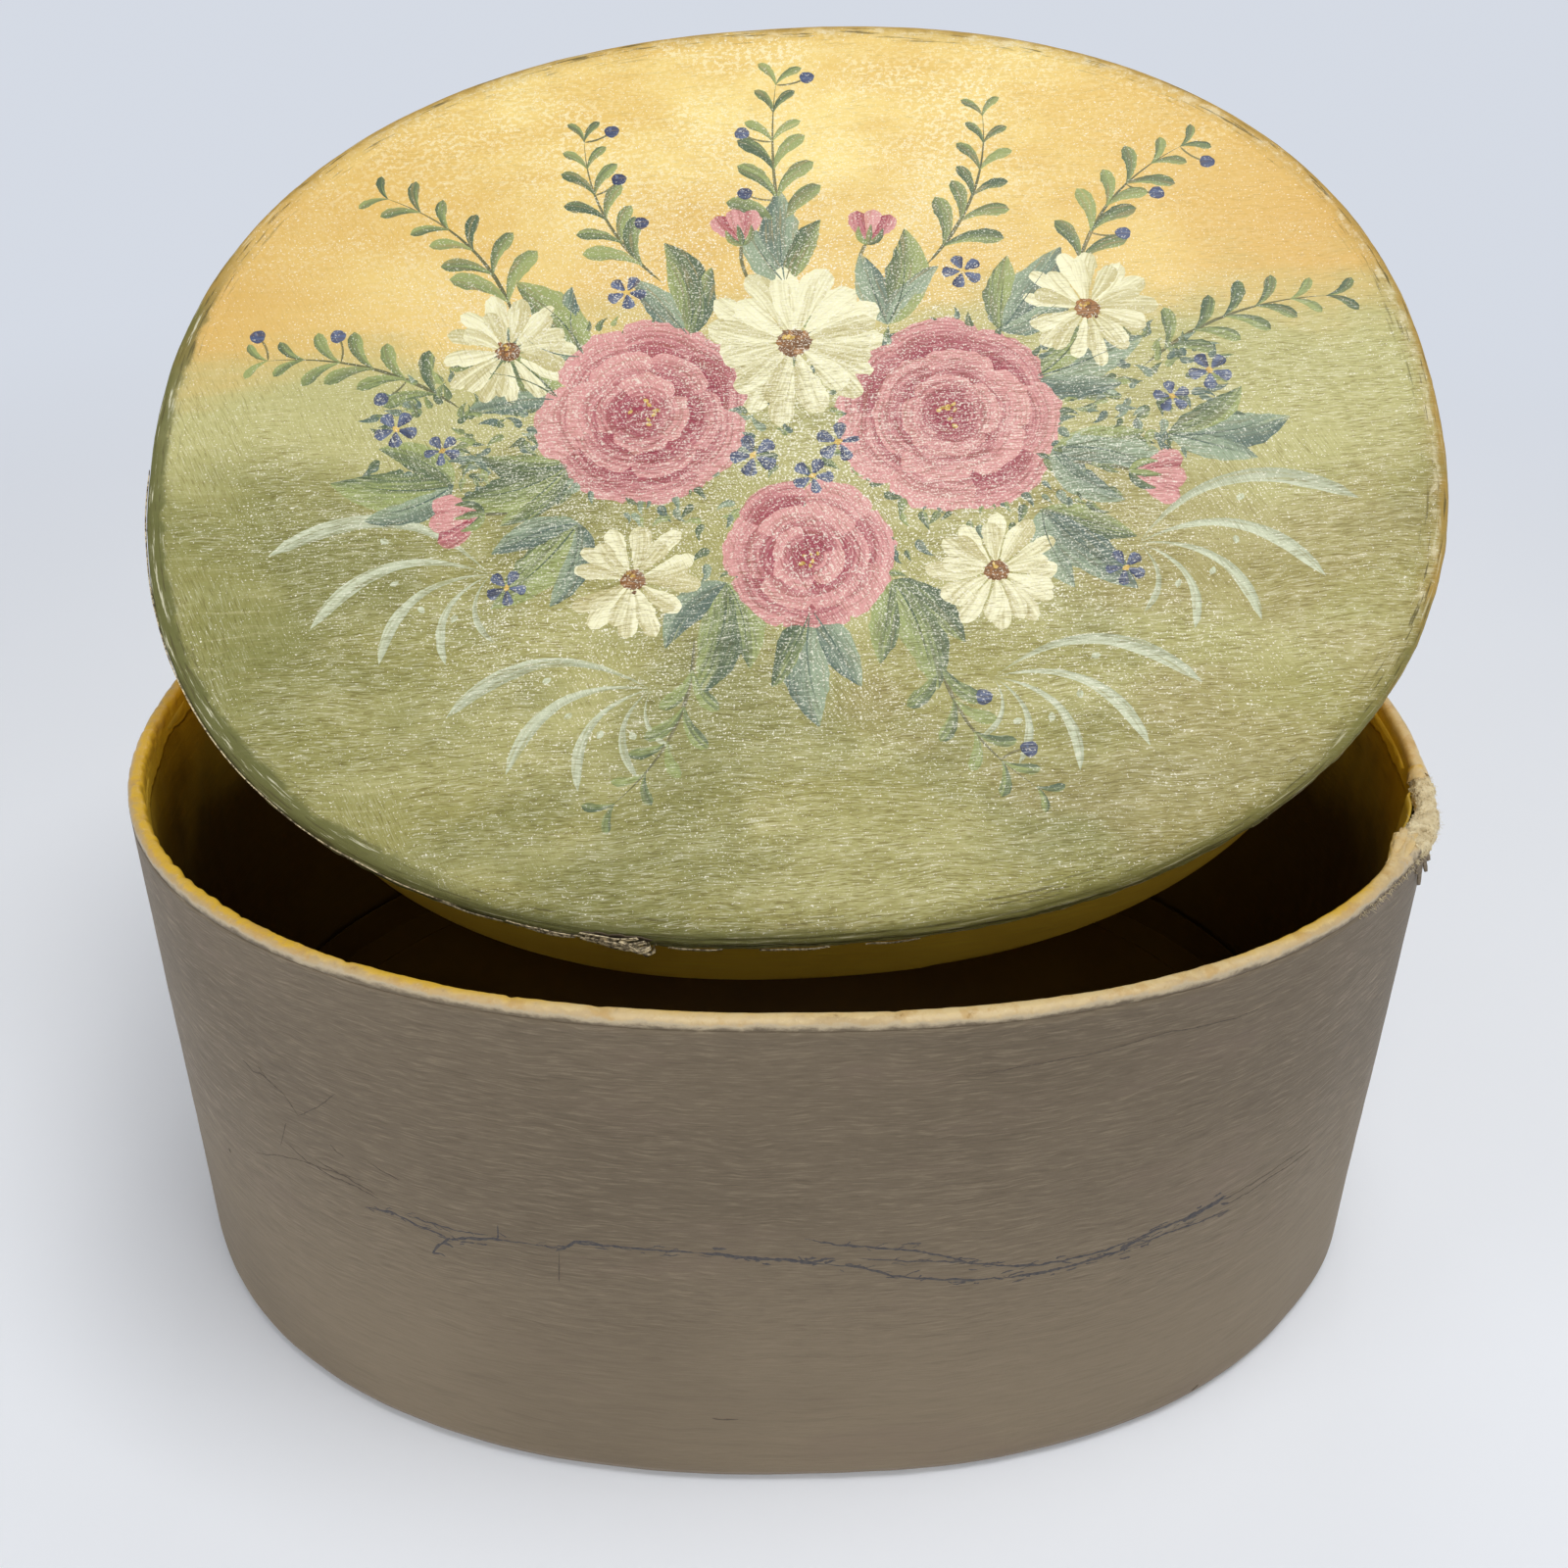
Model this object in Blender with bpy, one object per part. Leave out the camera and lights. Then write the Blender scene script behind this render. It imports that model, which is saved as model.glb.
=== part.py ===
"""Oval papier-mache box with a plug lid that stands tilted in the box's mouth.

The box is a bent pasteboard band, lapped at its right-hand end, round a base board, with paper
pasted over both faces and a folded binding over the rim. The lid is a board with a deep collar
that plugs the mouth. Metres, +Z up. The origin is the middle of the underside, the long way of
the oval runs along X, and the front is towards -Y.
"""

import math

import bmesh
import bpy
import numpy as np
from mathutils import Euler, Matrix, Vector

# Overall form of the box
BOX_LENGTH = 0.270
BOX_WIDTH = 0.222
BOX_HEIGHT = 0.114
OVAL_POWER = 2.25

# Gap between two faces that are pasted or laid together
SEAT = 0.0003

# Wall: a bent band of board between an outer skin and a lining
BAND_BOARD = 0.0018
SKIN_PAPER = 0.0006
LINING_PAPER = 0.0006

# The band's lapped joint, measured along the wall from the right-hand end, minus to the front
LAP_PLACE = -0.046
LAP_LENGTH = 0.018
LAP_RAMP = 0.016
SKIN_STEP = 0.005

# Rim: a strip folded over the edge of the wall, and the stretch where it has torn away
BINDING_LEG = 0.008
BINDING_FOLD = 0.0009
TEAR_PLACE = -0.044
TEAR_LENGTH = 0.032
TEAR_FLARE = 0.0022
TEAR_GAPE = 0.0008
TEAR_DEPTH = 0.007

# Base
BASE_BOARD = 0.0030
BASE_PROUD = 0.0015
UNDERSIDE_PAPER = 0.0006
UNDERSIDE_MARGIN = 0.0010
FLOOR_PAPER = 0.0006
CORNER_PAPER = 0.0006
CORNER_LEG = 0.010

# Lid
LID_OVERHANG = 0.0020
LID_BOARD = 0.0032
LID_EDGE_ROUND = 0.0015
FACE_PAPER = 0.0006
FACE_SKIRT = 0.0002
LEDGE_PAPER = 0.0006
UNDER_PAPER = 0.0005

# The lid's collar, which plugs the mouth
MOUTH_CLEARANCE = 0.0006
COLLAR_DEPTH = 0.0445
COLLAR_BOARD = 0.0015
COLLAR_PAPER = 0.0005
COLLAR_FOLD = 0.0004
COLLAR_PLACE = -0.176
COLLAR_JOG = 0.0009
COLLAR_JOG_RUN = 0.0015
COLLAR_CORNER_LEG = 0.009

# How the lid stands: the collar's lower edge rests on the rim at both sides
LID_TILT = math.radians(37.4)
LID_ROLL = math.radians(-3.75)
LID_YAW = math.radians(0.8)
LID_SETBACK = 0.0224
LID_SIDE_PLAY_SHARE = 0.05

# Faceting
ROUND_STEPS = 76
LAP_STEPS = 3
FOLD_STEPS = 2
COLLAR_FOLD_STEPS = 1
EDGE_STEPS = 3
FINE_STEPS = 4096
SEARCH_STEPS = 40
SHARP_ANGLE = math.radians(35.0)

# Heights and places that follow from the sizes above
BAND_OUTER = -(SKIN_PAPER + SEAT)
BAND_INNER = BAND_OUTER - BAND_BOARD
LINING_OUTER = BAND_INNER - SEAT
MOUTH_FACE = LINING_OUTER - LINING_PAPER
BAND_TOP = BOX_HEIGHT - SKIN_PAPER - SEAT
BINDING_FOOT = BOX_HEIGHT - BINDING_LEG
BASE_LOW = UNDERSIDE_PAPER + SEAT
BASE_TOP = BASE_LOW + BASE_BOARD
FLOOR_LOW = BASE_TOP + SEAT
CORNER_TOP = FLOOR_LOW + CORNER_LEG
LID_BOARD_EDGE = LID_OVERHANG - FACE_PAPER - SEAT
COLLAR_OUTER = MOUTH_FACE - MOUTH_CLEARANCE
COLLAR_BAND_OUTER = COLLAR_OUTER - COLLAR_PAPER - SEAT
COLLAR_BAND_INNER = COLLAR_BAND_OUTER - COLLAR_BOARD
COLLAR_LINING = COLLAR_BAND_INNER - SEAT
LAP_SHIFT = (BAND_BOARD + SEAT) / 2


def superellipse(turn, half_length, half_width):
    """Points of the oval at the given turns, as rows of x and y."""
    across = np.cos(turn)
    along = np.sin(turn)
    power = 2 / OVAL_POWER
    x = half_length * np.sign(across) * np.abs(across) ** power
    y = half_width * np.sign(along) * np.abs(along) ** power
    return np.column_stack([x, y])


# The wall's outer face as a table of turn against distance along it
TURNS = np.linspace(0, 2 * math.pi, FINE_STEPS + 1)
WALL_POINTS = superellipse(TURNS, BOX_LENGTH / 2, BOX_WIDTH / 2)
WALL_STEPS = np.hypot(*np.diff(WALL_POINTS, axis=0).T)
WALL_RUN = np.concatenate([[0], np.cumsum(WALL_STEPS)])
PERIMETER = float(WALL_RUN[-1])


def outline(along, outset):
    """The point that lies along the wall and outset from its outer face, as a vector on the floor."""
    turn = float(np.interp(along % PERIMETER, WALL_RUN, TURNS))
    x, y = superellipse(np.array([turn]), BOX_LENGTH / 2, BOX_WIDTH / 2)[0]
    slope_x = abs(x) ** (OVAL_POWER - 1) / (BOX_LENGTH / 2) ** OVAL_POWER
    slope_y = abs(y) ** (OVAL_POWER - 1) / (BOX_WIDTH / 2) ** OVAL_POWER
    normal = Vector((math.copysign(slope_x, x), math.copysign(slope_y, y), 0)).normalized()
    return Vector((x, y, 0)) + normal * outset


def ease(value):
    """A smooth step from 0 to 1."""
    held = min(max(value, 0.0), 1.0)
    return held * held * (3 - 2 * held)


def from_place(along, place):
    """Signed distance along the wall from a place, the short way round."""
    return (along - place + PERIMETER / 2) % PERIMETER - PERIMETER / 2


def band_shift(along):
    """How far the single band leans out behind the lap, and in before it."""
    away = from_place(along, LAP_PLACE)
    fade = 1 - ease((abs(away) - LAP_LENGTH / 2) / LAP_RAMP)
    return math.copysign(LAP_SHIFT, away) * fade


def skin_shift(along):
    """The outer skin rides over the outer end of the band and steps down in front of it."""
    away = from_place(along, LAP_PLACE)
    if away > -LAP_LENGTH / 2:
        return max(band_shift(along), 0) if away > 0 else LAP_SHIFT
    blend = ease((-away - LAP_LENGTH / 2) / SKIN_STEP)
    return LAP_SHIFT + (band_shift(along) - LAP_SHIFT) * blend


def lining_shift(along):
    """The lining rides over the inner end of the band and steps back behind it."""
    away = from_place(along, LAP_PLACE)
    if away < LAP_LENGTH / 2:
        return min(band_shift(along), 0) if away < 0 else -LAP_SHIFT
    blend = ease((away - LAP_LENGTH / 2) / SKIN_STEP)
    return -LAP_SHIFT + (band_shift(along) + LAP_SHIFT) * blend


def tear_share(along):
    """1 in the middle of the torn stretch of rim, falling to 0 at its ends."""
    return 1 - ease(2 * abs(from_place(along, TEAR_PLACE)) / TEAR_LENGTH)


def collar_depth(along):
    """The collar's depth: its strip is bent a little askew, so its edge jogs at its joint."""
    away = (along - COLLAR_PLACE) % PERIMETER
    askew = COLLAR_JOG * (1 - away / PERIMETER)
    return COLLAR_DEPTH - askew * ease(away / COLLAR_JOG_RUN)


def joint_marks():
    """Places beside the two lapped joints that every piece has a station at."""
    marks = [LAP_PLACE, COLLAR_PLACE, COLLAR_PLACE + COLLAR_JOG_RUN / 2, COLLAR_PLACE + COLLAR_JOG_RUN]
    for side in (-1, 1):
        foot = LAP_PLACE + side * LAP_LENGTH / 2
        marks += [foot + side * LAP_RAMP * step / LAP_STEPS for step in range(LAP_STEPS + 1)]
    return marks


def stations(start, end):
    """Places along the wall from start to end: those of the joints, and even steps between them."""
    even = [PERIMETER * step / ROUND_STEPS for step in range(ROUND_STEPS)]
    least = PERIMETER / ROUND_STEPS / 4
    joints = joint_marks()
    marks = [mark for mark in even if min(abs(from_place(mark, joint)) for joint in joints) > least]
    inside = sorted(start + (mark - start) % PERIMETER for mark in marks + joints)
    again = [mark + PERIMETER for mark in inside if mark + PERIMETER < end]
    return [start, *[mark for mark in inside + again if start + SEAT < mark < end - SEAT], end]


def colour_material(name, colour, roughness):
    """A Principled material of one colour."""
    material = bpy.data.materials.new(name)
    material.use_nodes = True
    shader = material.node_tree.nodes["Principled BSDF"]
    shader.inputs["Base Color"].default_value = (*colour, 1)
    shader.inputs["Roughness"].default_value = roughness
    shader.inputs["Metallic"].default_value = 0
    material.diffuse_color = (*colour, 1)
    return material


def finish(name, mesh_data, parent, colour, roughness):
    """Closes the mesh, turns its faces out, and puts it in the scene as one object."""
    bmesh.ops.recalc_face_normals(mesh_data, faces=mesh_data.faces)
    mesh = bpy.data.meshes.new(name)
    mesh_data.to_mesh(mesh)
    mesh_data.free()
    mesh.shade_smooth()
    mesh.set_sharp_from_angle(angle=SHARP_ANGLE)
    piece = bpy.data.objects.new(name, mesh)
    piece.data.materials.append(colour_material(name, colour, roughness))
    piece.parent = parent
    bpy.context.scene.collection.objects.link(piece)
    return piece


def loop_of(mesh_data, places, outset, height):
    """A closed ring of vertices; outset and height are numbers, or functions of the place."""
    ring = []
    for along in places:
        out = outset(along) if callable(outset) else outset
        up = height(along) if callable(height) else height
        ring.append(mesh_data.verts.new(outline(along, out) + Vector((0, 0, up))))
    return ring


def bridge(mesh_data, first, second):
    """A band of faces between two rings of the same count."""
    count = len(first)
    for step in range(count):
        after = (step + 1) % count
        mesh_data.faces.new((first[step], first[after], second[after], second[step]))


def plate(name, profile, parent, colour, roughness):
    """A sheet that fills the oval: rings from its underside round its edge to its top."""
    mesh_data = bmesh.new()
    places = stations(0, PERIMETER)[:-1]
    rings = [loop_of(mesh_data, places, outset, height) for outset, height in profile]
    for first, second in zip(rings, rings[1:]):
        bridge(mesh_data, first, second)
    mesh_data.faces.new(rings[0])
    mesh_data.faces.new(rings[-1])
    return finish(name, mesh_data, parent, colour, roughness)


def hoop(name, profile, parent, colour, roughness):
    """A closed strip round the oval with the given section."""
    mesh_data = bmesh.new()
    places = stations(0, PERIMETER)[:-1]
    rings = [loop_of(mesh_data, places, outset, height) for outset, height in profile]
    for first, second in zip(rings, rings[1:] + rings[:1]):
        bridge(mesh_data, first, second)
    return finish(name, mesh_data, parent, colour, roughness)


def strip(name, section, start, end, parent, colour, roughness):
    """A strip with two ends. section gives, at a place, each corner's shift along, outset and height."""
    mesh_data = bmesh.new()
    rows = []
    for along in stations(start, end):
        row = []
        for shift, outset, height in section(along):
            row.append(mesh_data.verts.new(outline(along + shift, outset) + Vector((0, 0, height))))
        rows.append(row)
    for first, second in zip(rows, rows[1:]):
        bridge(mesh_data, first, second)
    mesh_data.faces.new(rows[0])
    mesh_data.faces.new(rows[-1])
    return finish(name, mesh_data, parent, colour, roughness)


def arc(centre_out, centre_up, radius, first, last, steps):
    """Outset and height along an arc, from angle first to angle last, in quarter turns."""
    points = []
    for step in range(steps + 1):
        angle = math.pi / 2 * (first + (last - first) * step / steps)
        points.append((centre_out + radius * math.cos(angle), centre_up + radius * math.sin(angle)))
    return points


def shifted(profile, shift):
    """The profile with each outset moved by a function of the place."""
    return [(lambda along, out=out: out + shift(along), up) for out, up in profile]


def rectangle(outer, inner, low, high):
    """The four corners of a strip's section."""
    return [(inner, low), (outer, low), (outer, high), (inner, high)]


def make_base(box):
    """The base board, the sheets over and under it, and the strip in its corner."""
    edge = BAND_INNER - SEAT
    plate(
        "base_underside_paper",
        shifted([(edge - UNDERSIDE_MARGIN, 0), (edge - UNDERSIDE_MARGIN, UNDERSIDE_PAPER)], lining_shift),
        box,
        (0.30, 0.25, 0.20),
        0.85,
    )
    plate(
        "base_board",
        shifted([(edge, BASE_LOW), (edge, BASE_TOP)], lining_shift),
        box,
        (0.36, 0.29, 0.21),
        0.9,
    )
    corner = [
        (LINING_OUTER, FLOOR_LOW),
        (LINING_OUTER, CORNER_TOP),
        (LINING_OUTER - CORNER_PAPER, CORNER_TOP),
        (LINING_OUTER - CORNER_PAPER, FLOOR_LOW + CORNER_PAPER),
        (LINING_OUTER - CORNER_LEG, FLOOR_LOW + CORNER_PAPER),
        (LINING_OUTER - CORNER_LEG, FLOOR_LOW),
    ]
    hoop("base_corner_strip", shifted(corner, lining_shift), box, (0.42, 0.27, 0.06), 0.7)
    floor_edge = LINING_OUTER - CORNER_LEG - SEAT
    plate(
        "floor_lining_paper",
        shifted([(floor_edge, FLOOR_LOW), (floor_edge, FLOOR_LOW + FLOOR_PAPER)], lining_shift),
        box,
        (0.42, 0.27, 0.06),
        0.7,
    )


def band_section(along, shift):
    """The band's section: upright below, and sprung open at the top where the rim is torn."""
    flare = tear_share(along) * (TEAR_FLARE if shift > 0 else -TEAR_GAPE)
    corners = [
        (BAND_INNER, BASE_PROUD),
        (BAND_OUTER, BASE_PROUD),
        (BAND_OUTER, BAND_TOP - TEAR_DEPTH),
        (BAND_OUTER + flare, BAND_TOP),
        (BAND_INNER + flare, BAND_TOP),
        (BAND_INNER, BAND_TOP - TEAR_DEPTH),
    ]
    return [(0, out + shift, up) for out, up in corners]


def make_wall(box):
    """The lapped band, its skin and lining, and the binding folded over its edge."""
    outer_end = LAP_PLACE - LAP_LENGTH / 2
    inner_end = LAP_PLACE + LAP_LENGTH / 2 + PERIMETER

    def lapped(along):
        if along - outer_end < LAP_LENGTH:
            return band_section(along, LAP_SHIFT)
        if inner_end - along < LAP_LENGTH:
            return band_section(along, -LAP_SHIFT)
        return band_section(along, band_shift(along))

    strip("wall_band", lapped, outer_end, inner_end, box, (0.50, 0.42, 0.29), 0.9)
    skin_top = BINDING_FOOT - SEAT
    skin = rectangle(0, -SKIN_PAPER, BASE_PROUD, skin_top)
    hoop("wall_cover_paper", shifted(skin, skin_shift), box, (0.23, 0.18, 0.135), 0.55)
    lining_inner = LINING_OUTER - LINING_PAPER
    lining = rectangle(LINING_OUTER, lining_inner, CORNER_TOP + SEAT, skin_top)
    hoop("wall_lining_paper", shifted(lining, lining_shift), box, (0.42, 0.27, 0.06), 0.6)
    fold = [
        (-SKIN_PAPER, BINDING_FOOT),
        (0, BINDING_FOOT),
        *arc(-BINDING_FOLD, BOX_HEIGHT - BINDING_FOLD, BINDING_FOLD, 0, 1, FOLD_STEPS),
        *arc(MOUTH_FACE + BINDING_FOLD, BOX_HEIGHT - BINDING_FOLD, BINDING_FOLD, 1, 2, FOLD_STEPS),
        (MOUTH_FACE, BINDING_FOOT),
        (LINING_OUTER, BINDING_FOOT),
        (LINING_OUTER, BOX_HEIGHT - SKIN_PAPER),
        (-SKIN_PAPER, BOX_HEIGHT - SKIN_PAPER),
    ]

    def binding(along):
        return [(0, out + band_shift(along), up) for out, up in fold]

    start = TEAR_PLACE + TEAR_LENGTH / 2
    end = TEAR_PLACE - TEAR_LENGTH / 2 + PERIMETER
    strip("rim_binding_strip", binding, start, end, box, (0.62, 0.45, 0.17), 0.5)


def make_lid_board(lid):
    """The lid's board, the painted sheet rolled over its edge, and the papers under it."""
    round_centre = LID_BOARD_EDGE - LID_EDGE_ROUND
    round_height = LID_BOARD - LID_EDGE_ROUND
    board = [(LID_BOARD_EDGE, 0), *arc(round_centre, round_height, LID_EDGE_ROUND, 0, 1, EDGE_STEPS)]
    plate("lid_board", board, lid, (0.50, 0.42, 0.29), 0.9)
    inner_round = LID_EDGE_ROUND + SEAT
    outer_round = inner_round + FACE_PAPER
    skirt_foot = round_height - FACE_SKIRT
    face = [
        *reversed(arc(round_centre, round_height, inner_round, 0, 1, EDGE_STEPS)),
        (round_centre + inner_round, skirt_foot),
        (round_centre + outer_round, skirt_foot),
        *arc(round_centre, round_height, outer_round, 0, 1, EDGE_STEPS),
    ]
    plate("lid_face_paper", face, lid, (0.55, 0.43, 0.16), 0.35)
    ledge_low = -SEAT - LEDGE_PAPER
    ledge = [
        (COLLAR_OUTER + SEAT, -SEAT),
        (COLLAR_OUTER + SEAT, ledge_low),
        (LID_OVERHANG, ledge_low),
        (LID_OVERHANG, skirt_foot - SEAT),
        (LID_OVERHANG - LEDGE_PAPER, skirt_foot - SEAT),
        (LID_OVERHANG - LEDGE_PAPER, -SEAT),
    ]
    hoop("lid_edge_strip", ledge, lid, (0.34, 0.29, 0.12), 0.6)
    under_edge = COLLAR_LINING - COLLAR_CORNER_LEG - SEAT
    under = [(under_edge, -SEAT - UNDER_PAPER), (under_edge, -SEAT)]
    plate("lid_underside_paper", under, lid, (0.42, 0.27, 0.06), 0.7)


def make_collar(lid):
    """The collar: a strip of board bent till its ends butt, its folded paper and its corner strip."""

    def board(along):
        low = COLLAR_PAPER + SEAT - collar_depth(along)
        corners = rectangle(COLLAR_BAND_OUTER, COLLAR_BAND_INNER, low, -SEAT)
        return [(0, out, up) for out, up in corners]

    start = COLLAR_PLACE + COLLAR_JOG_RUN + SEAT
    end = COLLAR_PLACE + PERIMETER - SEAT
    strip("collar_band", board, start, end, lid, (0.50, 0.42, 0.29), 0.9)
    inner_face = COLLAR_LINING - COLLAR_PAPER
    lining_top = -SEAT - COLLAR_CORNER_LEG - SEAT
    low = []
    inner_fold = arc(inner_face + COLLAR_FOLD, COLLAR_FOLD, COLLAR_FOLD, 2, 3, COLLAR_FOLD_STEPS)
    outer_fold = arc(COLLAR_OUTER - COLLAR_FOLD, COLLAR_FOLD, COLLAR_FOLD, 3, 4, COLLAR_FOLD_STEPS)
    for out, up in inner_fold + outer_fold:
        low.append((out, lambda along, up=up: up - collar_depth(along)))

    def fold_height(along):
        return COLLAR_PAPER - collar_depth(along)

    wrap = [
        (inner_face, lining_top),
        *low,
        (COLLAR_OUTER, -SEAT),
        (COLLAR_OUTER - COLLAR_PAPER, -SEAT),
        (COLLAR_OUTER - COLLAR_PAPER, fold_height),
        (COLLAR_LINING, fold_height),
        (COLLAR_LINING, lining_top),
    ]
    hoop("collar_wrap_paper", wrap, lid, (0.40, 0.25, 0.04), 0.5)
    corner = [
        (COLLAR_LINING, -SEAT),
        (COLLAR_LINING - COLLAR_CORNER_LEG, -SEAT),
        (COLLAR_LINING - COLLAR_CORNER_LEG, -SEAT - UNDER_PAPER),
        (inner_face, -SEAT - UNDER_PAPER),
        (inner_face, -SEAT - COLLAR_CORNER_LEG),
        (COLLAR_LINING, -SEAT - COLLAR_CORNER_LEG),
    ]
    hoop("collar_corner_strip", corner, lid, (0.42, 0.27, 0.06), 0.7)


def plan_radius(points):
    """Directions and distances of plan points from the middle of the box, sorted by direction."""
    direction = np.arctan2(points[:, 1], points[:, 0])
    order = np.argsort(direction)
    return direction[order], np.hypot(points[:, 0], points[:, 1])[order]


def seat_heights(side_place, turned, mouth):
    """How high the collar's lower edge passes over the mouth's face, at the left and the right."""
    plan = turned + np.array([side_place, LID_SETBACK, 0])
    direction = np.arctan2(plan[:, 1], plan[:, 0])
    over = np.hypot(plan[:, 0], plan[:, 1]) - np.interp(direction, *mouth, period=2 * math.pi)
    crossings = np.nonzero((over[:-1] < 0) != (over[1:] < 0))[0]
    left, right = math.inf, math.inf
    for index in crossings:
        share = over[index] / (over[index] - over[index + 1])
        x, _, height = plan[index] + share * (plan[index + 1] - plan[index])
        if x < 0:
            left = min(left, height)
        else:
            right = min(right, height)
    return left, right


def seated_lid():
    """Where the tilted lid comes to rest with its collar's edge on the rim at both sides."""
    turn = Euler((LID_TILT, LID_ROLL, LID_YAW)).to_matrix()
    places = [PERIMETER * step / FINE_STEPS for step in range(FINE_STEPS + 1)]
    edge = np.array([outline(a, COLLAR_OUTER) + Vector((0, 0, -collar_depth(a))) for a in places])
    turned = edge @ np.array(turn).T
    mouth = plan_radius(np.array([outline(a, MOUTH_FACE - SEAT + lining_shift(a)) for a in places]))
    low = -LID_SIDE_PLAY_SHARE * BOX_LENGTH
    high = LID_SIDE_PLAY_SHARE * BOX_LENGTH
    for _ in range(SEARCH_STEPS):
        middle = (low + high) / 2
        left, right = seat_heights(middle, turned, mouth)
        if right > left:
            low = middle
        else:
            high = middle
    lift = BOX_HEIGHT + SEAT - min(left, right)
    return Matrix.Translation(Vector((middle, LID_SETBACK, lift))) @ turn.to_4x4()


def clear_scene():
    """Removes whatever the scene holds."""
    for thing in list(bpy.data.objects):
        bpy.data.objects.remove(thing, do_unlink=True)


def carrier(name, placing):
    """An empty that carries one body's pieces."""
    empty = bpy.data.objects.new(name, None)
    empty.empty_display_size = BOX_HEIGHT / 2
    empty.matrix_world = placing
    bpy.context.scene.collection.objects.link(empty)
    return empty


def main():
    """Builds the box and the lid that stands in its mouth."""
    clear_scene()
    box = carrier("box", Matrix.Identity(4))
    make_base(box)
    make_wall(box)
    lid = carrier("lid", seated_lid())
    make_lid_board(lid)
    make_collar(lid)
    place = lid.matrix_world.translation
    print("lid stands at", [round(value, 5) for value in place])
    bpy.context.view_layer.update()


main()
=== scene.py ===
"""The looks of an oval papier-mache box whose painted lid stands tilted in its mouth."""

import math
import random

import bpy
import numpy as np
from mathutils import Euler, Matrix, Vector, noise


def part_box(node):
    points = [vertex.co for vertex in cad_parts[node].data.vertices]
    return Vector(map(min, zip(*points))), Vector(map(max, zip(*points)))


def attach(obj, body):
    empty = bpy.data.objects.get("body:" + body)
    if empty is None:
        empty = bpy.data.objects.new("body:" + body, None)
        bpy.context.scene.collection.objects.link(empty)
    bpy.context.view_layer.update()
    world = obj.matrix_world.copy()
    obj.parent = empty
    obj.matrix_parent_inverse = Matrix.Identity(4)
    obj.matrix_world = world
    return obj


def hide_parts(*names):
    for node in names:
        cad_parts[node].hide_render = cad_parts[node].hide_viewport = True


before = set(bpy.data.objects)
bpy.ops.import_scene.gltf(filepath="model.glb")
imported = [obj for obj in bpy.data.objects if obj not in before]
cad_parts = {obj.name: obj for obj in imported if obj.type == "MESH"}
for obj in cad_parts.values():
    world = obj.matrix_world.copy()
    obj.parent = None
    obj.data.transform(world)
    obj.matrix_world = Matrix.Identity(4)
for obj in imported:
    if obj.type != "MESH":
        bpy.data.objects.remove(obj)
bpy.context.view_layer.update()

# Sizes read from the model, in metres
SKIN_LOW, SKIN_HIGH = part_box("wall_cover_paper")
LENGTH = SKIN_HIGH[0] - SKIN_LOW[0]
WIDTH = SKIN_HIGH[1] - SKIN_LOW[1]
WALL_FOOT = SKIN_LOW[2]
RIM_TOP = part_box("rim_binding_strip")[1][2]
BINDING_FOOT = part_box("rim_binding_strip")[0][2]
LINING_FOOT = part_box("wall_lining_paper")[0][2]

# The oval and the wall's plies
OVAL_POWER = 2.25
MOUTH_FACE = -0.0036
BAND_OUTER = -0.0009
BAND_INNER = -0.0027
SKIN_PAPER = 0.0006
LINING_OUTER = -0.0030
FINE_STEPS = 8192
RIPPLE_WAVES = 11

# The wall's lapped joint and the tear over it, as distances along the wall from its right-hand end
LAP_PLACE = -0.046
LAP_LENGTH = 0.018
LAP_RAMP = 0.016
LAP_SHIFT = 0.00105
SKIN_STEP = 0.005
SKIN_FADE = 0.024
TEAR_PLACE = -0.044
TEAR_LENGTH = 0.032
TEAR_FLARE = 0.0022
FAR_END = -0.0312
NEAR_END = -0.0566

# The lid, in its own frame: x along the oval, y up its slope, z out of its face
LID_TILT = math.radians(37.4)
LID_ROLL = math.radians(-3.75)
LID_YAW = math.radians(0.8)
LID_OVERHANG = 0.0020
LID_FACE = 0.0041
LID_LOW = -0.0009
ROLL_RADIUS = 0.0024
ROLL_INNER = 0.0018
SKIRT_FOOT = 0.0015
COLLAR_OUTER = -0.0042
COLLAR_INNER = -0.0073
COLLAR_DEPTH = 0.0445
COLLAR_PLACE = -0.176
COLLAR_JOG = 0.0009
COLLAR_JOG_RUN = 0.0015

# Camera, fitted to the outlines in the photograph
CAMERA_PLACE = Vector((-0.00380, -0.32438, 0.28403))
CAMERA_PITCH = math.radians(30.504)
CAMERA_YAW = math.radians(0.863)
CAMERA_ROLL = math.radians(0.581)
CAMERA_LENS = 38.567
CAMERA_SENSOR = 36.0


def signed_power(value, power):
    """A power of the value's size, with the value's sign."""
    return np.sign(value) * np.abs(value) ** power


def superellipse(turn, half_length, half_width):
    """Points of the oval at the given turns, as x and y."""
    power = 2 / OVAL_POWER
    return half_length * signed_power(np.cos(turn), power), half_width * signed_power(np.sin(turn), power)


TURNS = np.linspace(0, 2 * math.pi, FINE_STEPS + 1)
WALL_RUN = np.concatenate([[0], np.cumsum(np.hypot(*np.diff(superellipse(TURNS, LENGTH / 2, WIDTH / 2))))])
PERIMETER = float(WALL_RUN[-1])


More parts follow.
